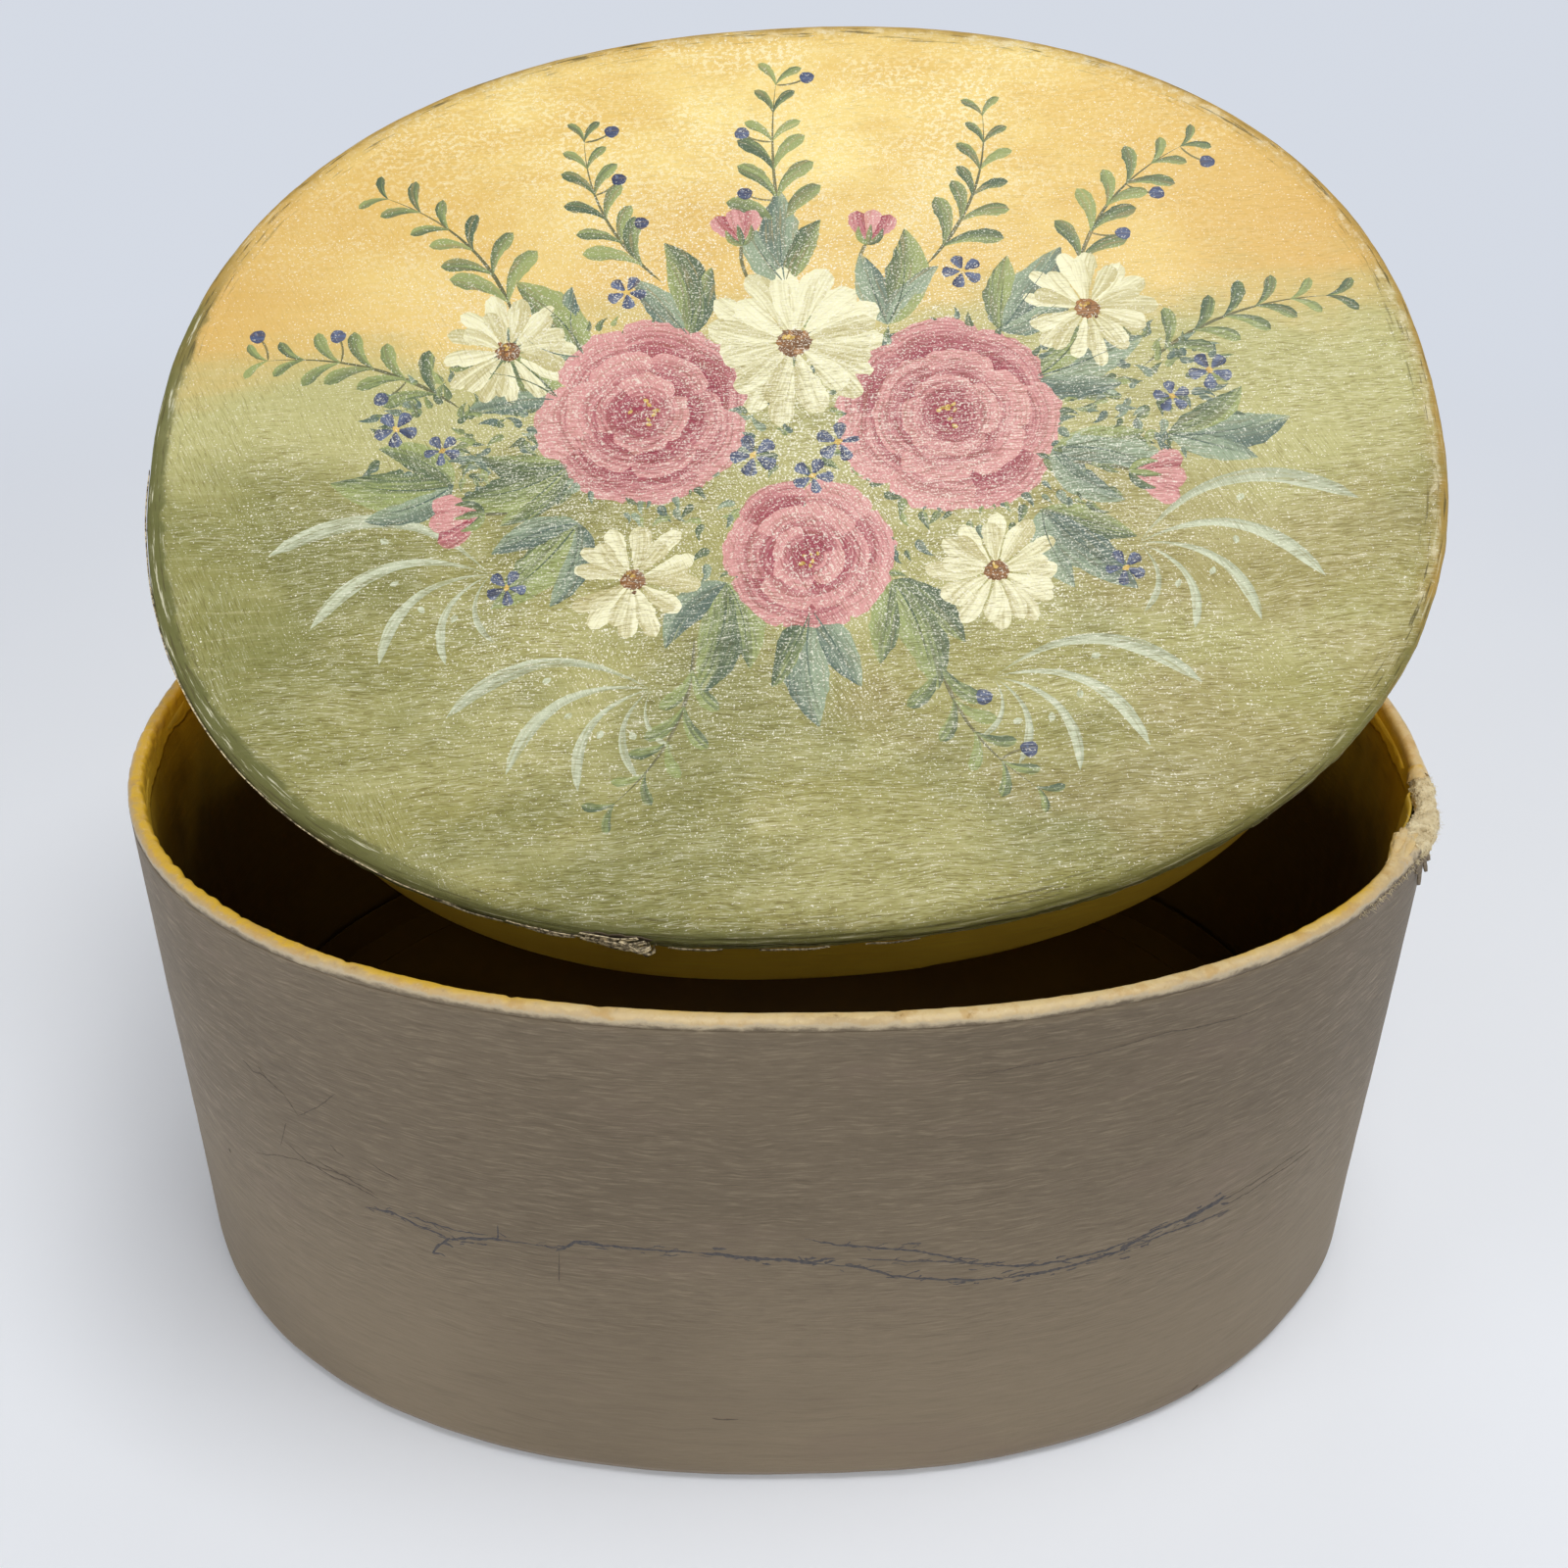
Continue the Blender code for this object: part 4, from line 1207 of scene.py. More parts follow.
# Places along the wall and heights of each drawn line's points, then its width
CRACKS = (
    ((-0.2774, -0.2717, -0.2666, -0.2616, -0.2597), (0.0581, 0.0594, 0.0582, 0.0574, 0.0567), 0.00055),
    ((-0.2597, -0.2541, -0.2485), (0.0567, 0.0585, 0.0596), 0.00080),
    ((-0.2683, -0.2639, -0.2582, -0.2515), (0.0599, 0.0597, 0.0595, 0.0600), 0.00035),
    ((-0.2634, -0.2619, -0.2593), (0.0517, 0.0545, 0.0572), 0.00075),
    ((-0.2494, -0.2496), (0.0631, 0.0596), 0.00040),
    ((-0.2485, -0.2421, -0.2375), (0.0596, 0.0599, 0.0601), 0.00028),
    ((-0.2387, -0.2358, -0.2351, -0.2317), (0.0591, 0.0611, 0.0622, 0.0624), 0.00080),
    ((-0.2351, -0.2284, -0.2217, -0.2129), (0.0618, 0.0620, 0.0618, 0.0618), 0.00060),
    ((-0.2129, -0.2053, -0.1975, -0.1904), (0.0618, 0.0609, 0.0604, 0.0592), 0.00105),
    (
        (-0.1904, -0.1833, -0.1783, -0.1710, -0.1636, -0.1560),
        (0.0592, 0.0581, 0.0556, 0.0542, 0.0530, 0.0521),
        0.00065,
    ),
    ((-0.1560, -0.1508, -0.1458, -0.1391, -0.1322), (0.0521, 0.0518, 0.0521, 0.0527, 0.0530), 0.00080),
    (
        (-0.1941, -0.1882, -0.1811, -0.1739, -0.1689, -0.1639),
        (0.0655, 0.0640, 0.0629, 0.0615, 0.0596, 0.0572),
        0.00060,
    ),
    (
        (-0.1639, -0.1562, -0.1498, -0.1432, -0.1379, -0.1324),
        (0.0572, 0.0550, 0.0540, 0.0540, 0.0541, 0.0548),
        0.00065,
    ),
    ((-0.1846, -0.1774, -0.1689, -0.1589), (0.0606, 0.0593, 0.0584, 0.0560), 0.00035),
    ((-0.1345, -0.1324, -0.1300), (0.0530, 0.0542, 0.0546), 0.00150),
    ((-0.1324, -0.1268, -0.1209, -0.1163, -0.1116), (0.0548, 0.0556, 0.0559, 0.0567, 0.0574), 0.00070),
    ((-0.1215, -0.1170, -0.1116), (0.0556, 0.0562, 0.0570), 0.00150),
    ((-0.1322, -0.1236, -0.1140, -0.1089), (0.0530, 0.0539, 0.0531, 0.0527), 0.00050),
)
FAINT_LINES = (
    (
        (-0.1680, -0.1587, -0.1448, -0.1319, -0.1174, -0.1080),
        (0.1010, 0.1018, 0.1024, 0.1034, 0.1020, 0.1022),
        0.00030,
    ),
    ((-0.3080, -0.2950, -0.2850, -0.2760), (0.0560, 0.0620, 0.0640, 0.0650), 0.00024),
    ((-0.1110, -0.1041, -0.0966, -0.0851), (0.0548, 0.0550, 0.0557, 0.0547), 0.00045),
    ((-0.1110, -0.1030, -0.0940, -0.0860), (0.0566, 0.0570, 0.0574, 0.0566), 0.00035),
    ((-0.2881, -0.2808, -0.2741), (0.0652, 0.0640, 0.0623), 0.00045),
    ((-0.2381, -0.2386), (0.0592, 0.0513), 0.00035),
    ((-0.3002, -0.2985, -0.2939, -0.2906), (0.0819, 0.0798, 0.0783, 0.0745), 0.00040),
    ((-0.2906, -0.2850, -0.2802), (0.0745, 0.0790, 0.0844), 0.00026),
    ((-0.2947, -0.2960, -0.2976), (0.0708, 0.0675, 0.0637), 0.00030),
    ((-0.2958, -0.2903, -0.2837, -0.2785, -0.2735), (0.0654, 0.0634, 0.0626, 0.0626, 0.0617), 0.00042),
    ((-0.2834, -0.2820, -0.2804), (0.0708, 0.0694, 0.0692), 0.00045),
    ((-0.2751, -0.2710, -0.2685), (0.0702, 0.0688, 0.0682), 0.00032),
    ((-0.3193, -0.3186), (0.0494, 0.0488), 0.00110),
    ((-0.2110, -0.2085, -0.2060), (0.0182, 0.0178, 0.0181), 0.00050),
    ((-0.1100, -0.1092, -0.1084), (0.0024, 0.0029, 0.0034), 0.00050),
    ((-0.3050, -0.3041, -0.3020, -0.3000, -0.2972), (0.0806, 0.0803, 0.0795, 0.0799, 0.0792), 0.00040),
)
# Bits of fuzz beside each stretch of a crack, and the stretch
FUZZ_BITS = 5
FUZZ_STRETCH = 0.010
# The step along a drawn line, how far it wanders, and its rows' share of half a width and lift
LINE_STEP = 0.0006
LINE_WANDER = 0.00016
LINE_ROWS = ((-1, -0.00003), (-0.5, 0.00004), (0.5, 0.00004), (1, -0.00003))


def wall_line(heap, places, heights, width, draw, tone=0.0):
    """A fine uneven line on the wall, as a ribbon that follows its surface."""
    length = float(np.hypot(np.diff(places), np.diff(heights)).sum())
    count = max(7, int(length / LINE_STEP))
    share = np.linspace(0, 1, count)
    knots = np.linspace(0, 1, len(places))
    along = np.interp(share, knots, places)
    wander = np.convolve(draw.normal(0, 1, count + 6), np.ones(3) / 3, "same")[3:-3]
    height = np.interp(share, knots, heights) + LINE_WANDER * wander
    taper = np.clip(6 * np.minimum(share, 1 - share) + 0.15, 0, 1)
    half = width / 2 * (0.5 + 0.8 * draw.random(count)) * taper
    path = np.stack([np.gradient(along), np.gradient(height)])
    ahead, rise = path / np.maximum(np.linalg.norm(path, axis=0), 1e-9)
    rows = []
    for side, lift in LINE_ROWS:
        at = along - side * half * rise
        high = height + side * half * ahead
        rows.append(placed(at, skin_face(at, high) + lift, high))
    heap.add(np.stack(rows), tone)


def make_wall_marks():
    """Grey hairlines where the paint has cracked, with fuzz beside them, and fainter scratches."""
    crack = plain_mark("crack_line", (0.056, 0.054, 0.060), (0.092, 0.082, 0.074))
    draw = np.random.default_rng(41)
    heap = Heap()
    for places, heights, width in CRACKS:
        wall_line(heap, places, heights, width, draw)
        length = places[-1] - places[0]
        for _ in range(int(FUZZ_BITS * length / FUZZ_STRETCH) + 2):
            at = draw.uniform(0, 1)
            along = np.interp(at, np.linspace(0, 1, len(places)), places)
            height = np.interp(at, np.linspace(0, 1, len(places)), heights) + draw.normal(0, width * 0.9)
            reach = draw.uniform(0.0006, 0.0030)
            lean = draw.normal(0, 0.0003)
            line = ((along, along + reach / 2, along + reach), (height, height + lean, height + 1.5 * lean))
            wall_line(heap, *line, width * draw.uniform(0.3, 0.7), draw, draw.uniform(0, 1))
    heap.piece("wall_cracks", "box", "taupe_paper", crack)
    heap = Heap()
    for places, heights, width in FAINT_LINES:
        wall_line(heap, places, heights, width, draw, 0.3)
    faint = plain_mark("faint_line", (0.075, 0.058, 0.042), (0.115, 0.090, 0.064))
    heap.piece("wall_faint_lines", "box", "taupe_paper", faint)


# Lid

FACE_COLUMNS = 560
FACE_RINGS = 64
FACE_SAG = 0.00024
LOWEST = 0.75 * PERIMETER


def face_height(x, y):
    """The face's height over the underside of the board: it sags and waves a little."""
    swell = np.sin(31 * x + 1.3) * np.cos(27 * y - 0.4) + 0.6 * np.sin(58 * x + 44 * y)
    return LID_FACE - FACE_SAG - 0.00011 * swell


def bell(share, middle, reach):
    """1 at the middle, falling off smoothly on both sides."""
    return np.exp(-((share - middle) / reach) ** 2)


def make_lid_face(material):
    """The painted sheet: the flat face, a soft crease round it, and its roll over the board's edge."""
    along = np.arange(FACE_COLUMNS) * PERIMETER / FACE_COLUMNS
    roll_start = LID_OVERHANG - ROLL_RADIUS
    border = np.stack(outline(along, roll_start))
    rows, across = [], []
    for share in np.append(np.sqrt(np.linspace(0.00001, 0.97, FACE_RINGS)), (0.992, 1.0)):
        x, y = border * share
        crease = 0.00014 * bell(share, 0.990, 0.007) - 0.00030 * bell(share, 0.966, 0.008)
        rows.append(np.stack([x, y, face_height(x, y) + crease], -1))
        across.append(-np.hypot(*border) * (1 - share))
    sag = LID_FACE - face_height(*border)
    wobble = 0.00014 * wave(71, along, 0.016) + 0.00008 * wave(72, along, 0.005)
    low = hump(along, LOWEST, 0.120)
    for share in np.linspace(0, 1, 12)[1:]:
        angle = share * math.pi / 2
        reach = ROLL_RADIUS - 0.00030 + wobble * math.sin(angle)
        fold = 0.00022 * low * bell(share, 0.52, 0.10) * (1 + 0.6 * wave(73, along, 0.020))
        outset = roll_start + reach * math.sin(angle) ** 0.9 - fold
        height = SKIRT_FOOT + 0.0002 + (LID_FACE - SKIRT_FOOT - 0.0002) * math.cos(angle) ** 0.9
        rows.append(placed(along, outset, height - (sag + fold) * math.cos(angle)))
        across.append(0 * along + 0.0037 * share)
    rows.append(placed(along, roll_start + ROLL_INNER, SKIRT_FOOT + 0.0002))
    rows.append(placed(along, roll_start - 0.0010, LID_FACE - 0.0009))
    across += [0 * along + 0.0040] * 2
    faces = grid_faces(len(rows), FACE_COLUMNS, close_columns=True)
    faces.append(list(range(FACE_COLUMNS)))
    points = on_lid(np.stack(rows))
    values = {"across": np.stack(across)}
    face = add_piece("lid_face", points, faces, "lid", material, values)
    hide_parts("lid_face_paper")


def make_lid_edge(material):
    """The strip over the lid's edge: uneven, with a lengthwise crack under the face's roll."""

    def profile(along):
        wobble = 0.00016 * wave(75, along, 0.014) + 0.00010 * wave(76, along, 0.004)
        foot = LID_LOW + 0.00034 + 0.00024 * wave(77, along, 0.020) + 0.00010 * wave(78, along, 0.004)
        foot = np.maximum(foot, LID_LOW)
        top = SKIRT_FOOT + 0.0001 + 0.00028 * wave(79, along, 0.018)
        rows = []
        for share in np.linspace(0, 1, 14):
            height = top + (foot - top) * share
            crack = 0.00030 * bell(share, 0.40 + 0.14 * wave(80, along, 0.030), 0.07)
            lump = 0.00008 * ripple(81, along, share * 0.004, 0.007, 0.004)
            tuck = 0.00045 * (ease((share - 0.8) / 0.2) + ease((0.12 - share) / 0.12))
            rows.append((LID_OVERHANG - 0.00038 + wobble + lump - crack - tuck, height))
        rows.append((LID_OVERHANG - 0.0012, foot))
        rows.append((COLLAR_OUTER + 0.0003, LID_LOW + 0.00005))
        rows.append((COLLAR_OUTER + 0.0003, -0.0003))
        rows.append((LID_OVERHANG - 0.0010, -0.0003))
        rows.append((LID_OVERHANG - 0.0010, top - 0.0001))
        return rows

    edge = hoop("lid_edge", profile, 900, "lid", material)
    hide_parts("lid_edge_strip")


def make_collar(material):
    """The collar's ochre paper, folded round its lower edge, with slight waves."""

    def profile(along):
        depth = collar_depth(along)
        rows = []
        for share in np.linspace(0, 1, 34):
            height = -0.0004 - (depth - 0.0008) * share
            relief = 0.00010 * ripple(85, along, height, 0.040, 0.060)
            relief = relief + 0.00005 * ripple(86, along, height, 0.012, 0.016)
            rows.append((COLLAR_OUTER - 0.00019 + relief, height))
        middle = (COLLAR_OUTER + COLLAR_INNER) / 2
        half = (COLLAR_OUTER - COLLAR_INNER) / 2 - 0.00016
        for angle in np.linspace(0, math.pi, 7)[1:-1]:
            across = signed_power(math.cos(angle), 0.5)
            rows.append((middle + half * across, 0.00046 - depth - 0.0004 * math.sin(angle) ** 0.6))
        for share in np.linspace(1, 0, 16):
            height = -0.0100 - (depth - 0.0104) * share
            rows.append((COLLAR_INNER + 0.0001 + 0.00008 * ripple(87, along, height, 0.030, 0.030), height))
        rows.append((COLLAR_INNER + 0.0005, -0.0100))
        rows.append((COLLAR_OUTER - 0.0005, -0.0004))
        return rows

    collar = hoop("collar_skin", profile, 560, "lid", material)
    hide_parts("collar_wrap_paper")


def by_lid_edge(along, outset, height):
    """Points near the lid's edge, where the lid stands."""
    return on_lid(placed(along, outset, height))


FRAYED = (
    # start and end along the lid's lower edge, height at each, how far it stands off, width, darkness
    # The first row is a wide dark sheet behind the strips, standing in as painted shade in the gaps between
    # them
    (-0.0456, -0.0320, 0.0028, 0.0030, 0.0002, 0.0042, 2.0),
    (-0.0452, -0.0345, 0.0044, 0.0049, 0.0007, 0.0011, 0.0),
    (-0.0442, -0.0330, 0.0035, 0.0042, 0.0013, 0.0012, 0.0),
    (-0.0454, -0.0350, 0.0024, 0.0030, 0.0012, 0.0013, 0.0),
    (-0.0425, -0.0325, 0.0014, 0.0019, 0.0014, 0.0011, 0.0),
    (-0.0400, -0.0345, 0.0004, 0.0008, 0.0012, 0.0007, 0.0),
    (-0.0375, -0.0322, 0.0048, 0.0020, 0.0019, 0.0008, 0.0),
    (-0.0352, -0.0316, 0.0020, 0.0002, 0.0018, 0.0008, 0.0),
    (-0.0600, -0.0455, 0.0022, 0.0018, 0.0004, 0.0007, 0.0),
    (-0.0560, -0.0470, 0.0008, 0.0006, 0.0005, 0.0006, 0.0),
    (-0.0740, -0.0610, 0.0014, 0.0010, 0.0003, 0.0005, 0.2),
    (-0.0290, -0.0190, 0.0000, 0.0000, 0.0004, 0.0006, 0.0),
    (-0.0120, 0.0010, -0.0004, -0.0003, 0.0004, 0.0005, 0.1),
    (0.0080, 0.0180, -0.0005, -0.0005, 0.0003, 0.0004, 0.2),
    (-0.1980, -0.1640, 0.0032, 0.0030, 0.0001, 0.00028, 0.2),
    (-0.1700, -0.1380, 0.0028, 0.0031, 0.0001, 0.00036, 0.1),
    (-0.1430, -0.1120, 0.0032, 0.0028, 0.0002, 0.00042, 0.0),
    (-0.1180, -0.0900, 0.0026, 0.0030, 0.0002, 0.00034, 0.1),
    (-0.0960, -0.0700, 0.0030, 0.0022, 0.0001, 0.00030, 0.2),
)
TUFTS = (
    # place along the lid's edge, how many fibres, how far they spread, longest fibre
    (LOWEST - 0.0390, 40, 0.0060, 0.0012),
    (LOWEST - 0.0330, 22, 0.0012, 0.0022),
    (LOWEST - 0.0520, 16, 0.0080, 0.0010),
    (0.5 * PERIMETER + 0.014, 7, 0.0030, 0.0014),
    (0.86 * PERIMETER, 3, 0.0040, 0.0010),
)


def make_frays(material):
    """Torn plies of paper along the lower edge of the lid, and short fibres where it is worn."""
    heap = Heap()
    draw = random.Random(21)
    for start, end, first, last, stand, width, dark in FRAYED:
        share = np.linspace(0, 1, 22)[:, None]
        across = np.linspace(-1, 1, 7)[None, :]
        phase = draw.uniform(0, 6)
        along = LOWEST + start + (end - start) * share + 0.0003 * across * np.sin(7 * share + phase)
        taper = np.clip(4 * np.minimum(share, 1 - share) + 0.10, 0, 1) ** 0.7
        ragged = 1 + 0.22 * np.sin(23 * share + phase) + 0.12 * np.sin(51 * share + 2 * phase)
        height = first + (last - first) * share + width / 2 * taper * ragged * across
        height = height + 0.00018 * np.sin(10 * share + phase)
        curl = stand * (0.4 + 0.6 * np.sin(math.pi * share ** 1.4)) + 0.0003 * stand / 0.001 * across ** 2
        # The darkest sheet sits a little further in, behind the strips, as painted shade
        outset = LID_OVERHANG - 0.00034 + curl - 0.0002 * (dark > 1)
        sheet(heap, by_lid_edge(along, outset, height), FRAY_PAPER, dark)
    share = np.linspace(0, 1, 14)
    along = LOWEST - 0.0330 + 0.0006 * np.sin(7 * share) - 0.0004 * share
    path = by_lid_edge(along, COLLAR_OUTER + 0.00002, -0.0030 - 0.0060 * share)
    heap.add(tube(path, 0.00007 + 0 * share), 1.0, closed=True)
    down = LID_ARRAY[:3, 2]
    for place, count, spread, longest in TUFTS:
        for _ in range(count):
            along = np.array([place + draw.gauss(0, spread / 2)])
            height = np.array([draw.uniform(-0.0008, 0.0028)])
            point = by_lid_edge(along, LID_OVERHANG - 0.0003, height)[0]
            away = unit(point - by_lid_edge(along, -0.003, height)[0])
            strand = fibre(point, 0.6 * away - 0.3 * down, longest * draw.uniform(0.4, 1.0), draw, 0.00006)
            heap.add(strand, draw.uniform(0, 0.8), closed=True)
    heap.piece("lid_frays", "lid", "lid_edge_paper", material)


# Painting on the lid: brush strokes laid on the face

STROKE_ROWS = 15
STROKE_COLUMNS = 9
TOUCH_SIZE = 0.0040
# A rose's rings of petals, as shares of its size: reach, count, width, bow
ROSE_RINGS = ((0.37, 7, 0.27, -0.21), (0.255, 6, 0.23, -0.22), (0.15, 4, 0.19, -0.26))


def stroke_shape(form, share):
    """Half width of a brush stroke along its length, 1 at its widest."""
    if form == "leaf":
        return np.sin(math.pi * share ** 0.85) ** 0.8
    if form == "comma":
        head = np.sqrt(np.clip(1 - (1 - share / 0.28) ** 2, 0, 1))
        return np.where(share < 0.28, head, np.clip(1 - (share - 0.28) / 0.72, 0, 1) ** 0.85)
    if form == "petal":
        tip = np.clip((share - 0.68) / 0.32, 0, 1)
        return np.clip(share / 0.68, 0, 1) ** 0.75 * np.sqrt(np.clip(1 - tip ** 2.4, 0, 1))
    return np.clip(7 * np.minimum(share, 1 - share), 0, 1) ** 0.6


def stroke(heap, draw, start, end, width, bend=0.0, lift=0.00008, form="leaf", load=(0.0, 1.0), dry=0.6):
    """One brush stroke on the lid. load gives the paint's tone at its right and left side."""
    start, end = np.array(start), np.array(end)
    ahead = end - start
    length = np.linalg.norm(ahead)
    side = np.array([-ahead[1], ahead[0]]) / length
    share = np.linspace(0, 1, STROKE_ROWS)
    path = start + ahead * share[:, None] + side * (bend * length * 4 * share * (1 - share))[:, None]
    half = width / 2 * np.maximum(stroke_shape(form, share), 0.04)
    turn = unit(np.gradient(path, axis=0))
    normal = np.stack([-turn[:, 1], turn[:, 0]], -1)
    across = np.linspace(-1, 1, STROKE_COLUMNS)
    ragged = np.array([[1 + draw.gauss(0, 0.05), 1 + draw.gauss(0, 0.05)] for _ in share])
    reach = half[:, None] * across * np.where(across < 0, ragged[:, :1], ragged[:, 1:])
    plan = path[:, None] + normal[:, None] * reach[..., None]
    ends = np.clip(8 * np.minimum(share, 1 - share) + 0.25, 0, 1)[:, None]
    lift = lift * draw.uniform(0.9, 1.15)
    height = face_height(plan[..., 0], plan[..., 1]) + (lift * (1 - across ** 4) - 0.00003) * ends
    tone = load[0] + (load[1] - load[0]) * (across + 1) / 2 + 0 * share[:, None]
    values = {"load": tone, "run": share[:, None] * length, "side": reach}
    values["dry"] = dry * share[:, None] ** 2 + 0.25 * dry * np.abs(across) ** 6
    heap.add(on_lid(np.concatenate([plan, height[..., None]], -1)), draw.uniform(0, 1), **values)


def polar(middle, angle, reach):
    return (middle[0] + reach * math.cos(angle), middle[1] + reach * math.sin(angle))


def blob(heap, draw, middle, size, lift, load, squash=1.0):
    """A round patch of paint."""
    turn = np.linspace(0, 2 * math.pi, 24, endpoint=False)
    wavy = 1 + 0.05 * np.sin(3 * turn + draw.uniform(0, 6)) + 0.03 * np.sin(7 * turn)
    share = np.linspace(0.02, 1, 6)[:, None]
    x = middle[0] + size / 2 * share * wavy * np.cos(turn)
    y = middle[1] + size / 2 * share * wavy * np.sin(turn) * squash
    height = face_height(x, y) + lift * (1 - share ** 6) - 0.00003
    values = {"load": load, "run": x - middle[0], "side": y - middle[1], "dry": 0.4 * share ** 4}
    points = on_lid(np.stack([x, y, height], -1))
    heap.add(np.concatenate([points, points[:, :1]], axis=1), draw.uniform(0, 1),
             **{key: closed_ring(value, points.shape[:2]) for key, value in values.items()})


def closed_ring(value, shape):
    """Values on a ring's points, with the first repeated at the end."""
    spread = np.broadcast_to(value, shape)
    return np.concatenate([spread, spread[:, :1]], axis=1)


def dab(heap, draw, middle, size, lift, load):
    """A short touch of the brush."""
    angle = draw.uniform(0, 2 * math.pi)
    start, end = polar(middle, angle, -size / 2), polar(middle, angle, size / 2)
    width, bend = size * draw.uniform(0.7, 0.9), draw.uniform(-0.15, 0.15)
    stroke(heap, draw, start, end, width, bend, lift, "leaf", (load - 0.25, load + 0.25), 0.2)


def paint_leaf(paints, draw, base, angle, length, width, kind):
    """A leaf, dark on one side of its vein and light on the other."""
    leaf = paints[kind]
    tip = polar(base, angle, length)
    bend = draw.uniform(-0.14, 0.14)
    load = (0.05, 1.0) if draw.random() < 0.5 else (1.0, 0.05)
    stroke(leaf, draw, base, tip, width, bend, 0.00010, "leaf", load)
    vein_end = polar(base, angle, length * 0.82)
    stroke(leaf, draw, base, vein_end, 0.00055, bend * 0.95, 0.00017, "comma", (0.0, 0.1), 0.9)


def paint_rose(paints, draw, middle, size):
    """A round blossom: a deep disc, rings of cupped petals pale at their outer edge, and a dark throat."""
    rose = paints["rose"]
    blob(rose, draw, middle, size * 0.80, 0.00010, 0.05)
    for reach, count, width, bow in ROSE_RINGS:
        turn = draw.uniform(0, 1)
        for step in range(count):
            angle = 2 * math.pi * (step + turn + draw.uniform(-0.08, 0.08)) / count
            spread = math.pi / count * 1.18
            out = size * reach * draw.uniform(0.94, 1.05)
            start, end = polar(middle, angle - spread, out), polar(middle, angle + spread, out)
            lift = 0.00014 + 0.00012 * (0.37 - reach) / 0.22
            stroke(rose, draw, start, end, size * width, bow, lift, "line", (1.05, 0.0), 0.35)
    blob(rose, draw, middle, size * 0.15, 0.00030, -0.3, 0.75)
    for _ in range(9):
        spot = polar(middle, draw.uniform(0, 6.3), draw.uniform(0.2, 1) * size * 0.075)
        dab(paints["ochre"], draw, spot, size * 0.030, 0.00036, draw.uniform(0.2, 1))


def paint_bud(paints, draw, middle, size, angle):
    """A half-open bud seen from the side, in a green cup."""
    stem = polar(middle, angle + math.pi, size * 0.9)
    stroke(paints["stems"], draw, stem, middle, 0.0010, 0.1, 0.00007, "line", (0.3, 0.6))
    for lean, load in ((-0.45, (1.0, 0.2)), (0.45, (0.2, 1.0)), (0.0, (0.7, 0.9))):
        tip = polar(middle, angle + lean, size * 0.62)
        lift = 0.00014 if lean else 0.00018
        stroke(paints["rose"], draw, middle, tip, size * 0.34, 0.2 * lean, lift, "petal", load, 0.3)
    for lean in (-0.6, 0.0, 0.6):
        start, end = polar(middle, angle + math.pi, size * 0.08), polar(middle, angle + lean, size * 0.34)
        stroke(paints["green"], draw, start, end, size * 0.13, 0.25 * lean, 0.00022, "leaf", (0.1, 0.8))


def paint_daisy(paints, draw, middle, size, count):
    """Narrow cream petals round a stippled brown heart."""
    turn = draw.uniform(0, 1)
    for layer, (reach, lift) in enumerate(((0.50, 0.00013), (0.43, 0.00018))):
        petals = count - 3 * layer
        for step in range(petals):
            angle = 2 * math.pi * (step + turn + 0.5 * layer + draw.uniform(-0.14, 0.14)) / petals
            start = polar(middle, angle, size * 0.07)
            end = polar(middle, angle, size * reach * draw.uniform(0.90, 1.06))
            pale = draw.uniform(0.55, 1.1)
            width, bend = size * draw.uniform(0.14, 0.19), draw.uniform(-0.08, 0.08)
            stroke(paints["cream"], draw, start, end, width, bend, lift, "petal", (pale - 0.5, pale), 0.15)
    blob(paints["brown"], draw, middle, size * 0.20, 0.00024, 0.3, 0.9)
    for _ in range(14):
        spot = polar(middle, draw.uniform(0, 6.3), draw.uniform(0.1, 1) * size * 0.10)
        dab(paints["brown"], draw, spot, size * 0.040, 0.00030, draw.uniform(-0.2, 0.9))
    for _ in range(5):
        spot = polar(middle, draw.uniform(1.2, 2.6), draw.uniform(0.2, 0.8) * size * 0.08)
        dab(paints["ochre"], draw, spot, size * 0.035, 0.00036, draw.uniform(0.3, 1))


def paint_small_flower(paints, draw, middle, size):
    """A navy flower of five round petals with an ochre eye."""
    turn = draw.uniform(0, 6)
    for step in range(5):
        angle = turn + 2 * math.pi * step / 5
        start, end = polar(middle, angle, size * 0.06), polar(middle, angle, size * 0.50)
        stroke(paints["navy"], draw, start, end, size * 0.34, 0, 0.00016, "petal", (0.2, 1.0), 0.2)
    dab(paints["ochre"], draw, middle, size * 0.20, 0.00026, 0.8)


def paint_foliage(paints, draw, middle, wide, tall, count):
    """A clump of small curved touches in two greens."""
    for _ in range(count):
        angle, out = draw.uniform(0, 2 * math.pi), math.sqrt(draw.uniform(0, 1))
        spot = (middle[0] + wide * out * math.cos(angle), middle[1] + tall * out * math.sin(angle))
        tilt = angle + draw.uniform(-0.8, 0.8)
        reach = TOUCH_SIZE * draw.uniform(0.7, 1.3)
        heap = paints["green" if draw.random() < 0.6 else "blue_green"]
        shade = draw.uniform(-0.25, 0.45)
        bend = draw.uniform(-0.25, 0.25)
        load = (shade, shade + 0.5)
        stroke(heap, draw, spot, polar(spot, tilt, reach), reach * 0.5, bend, 0.00007, "comma", load)


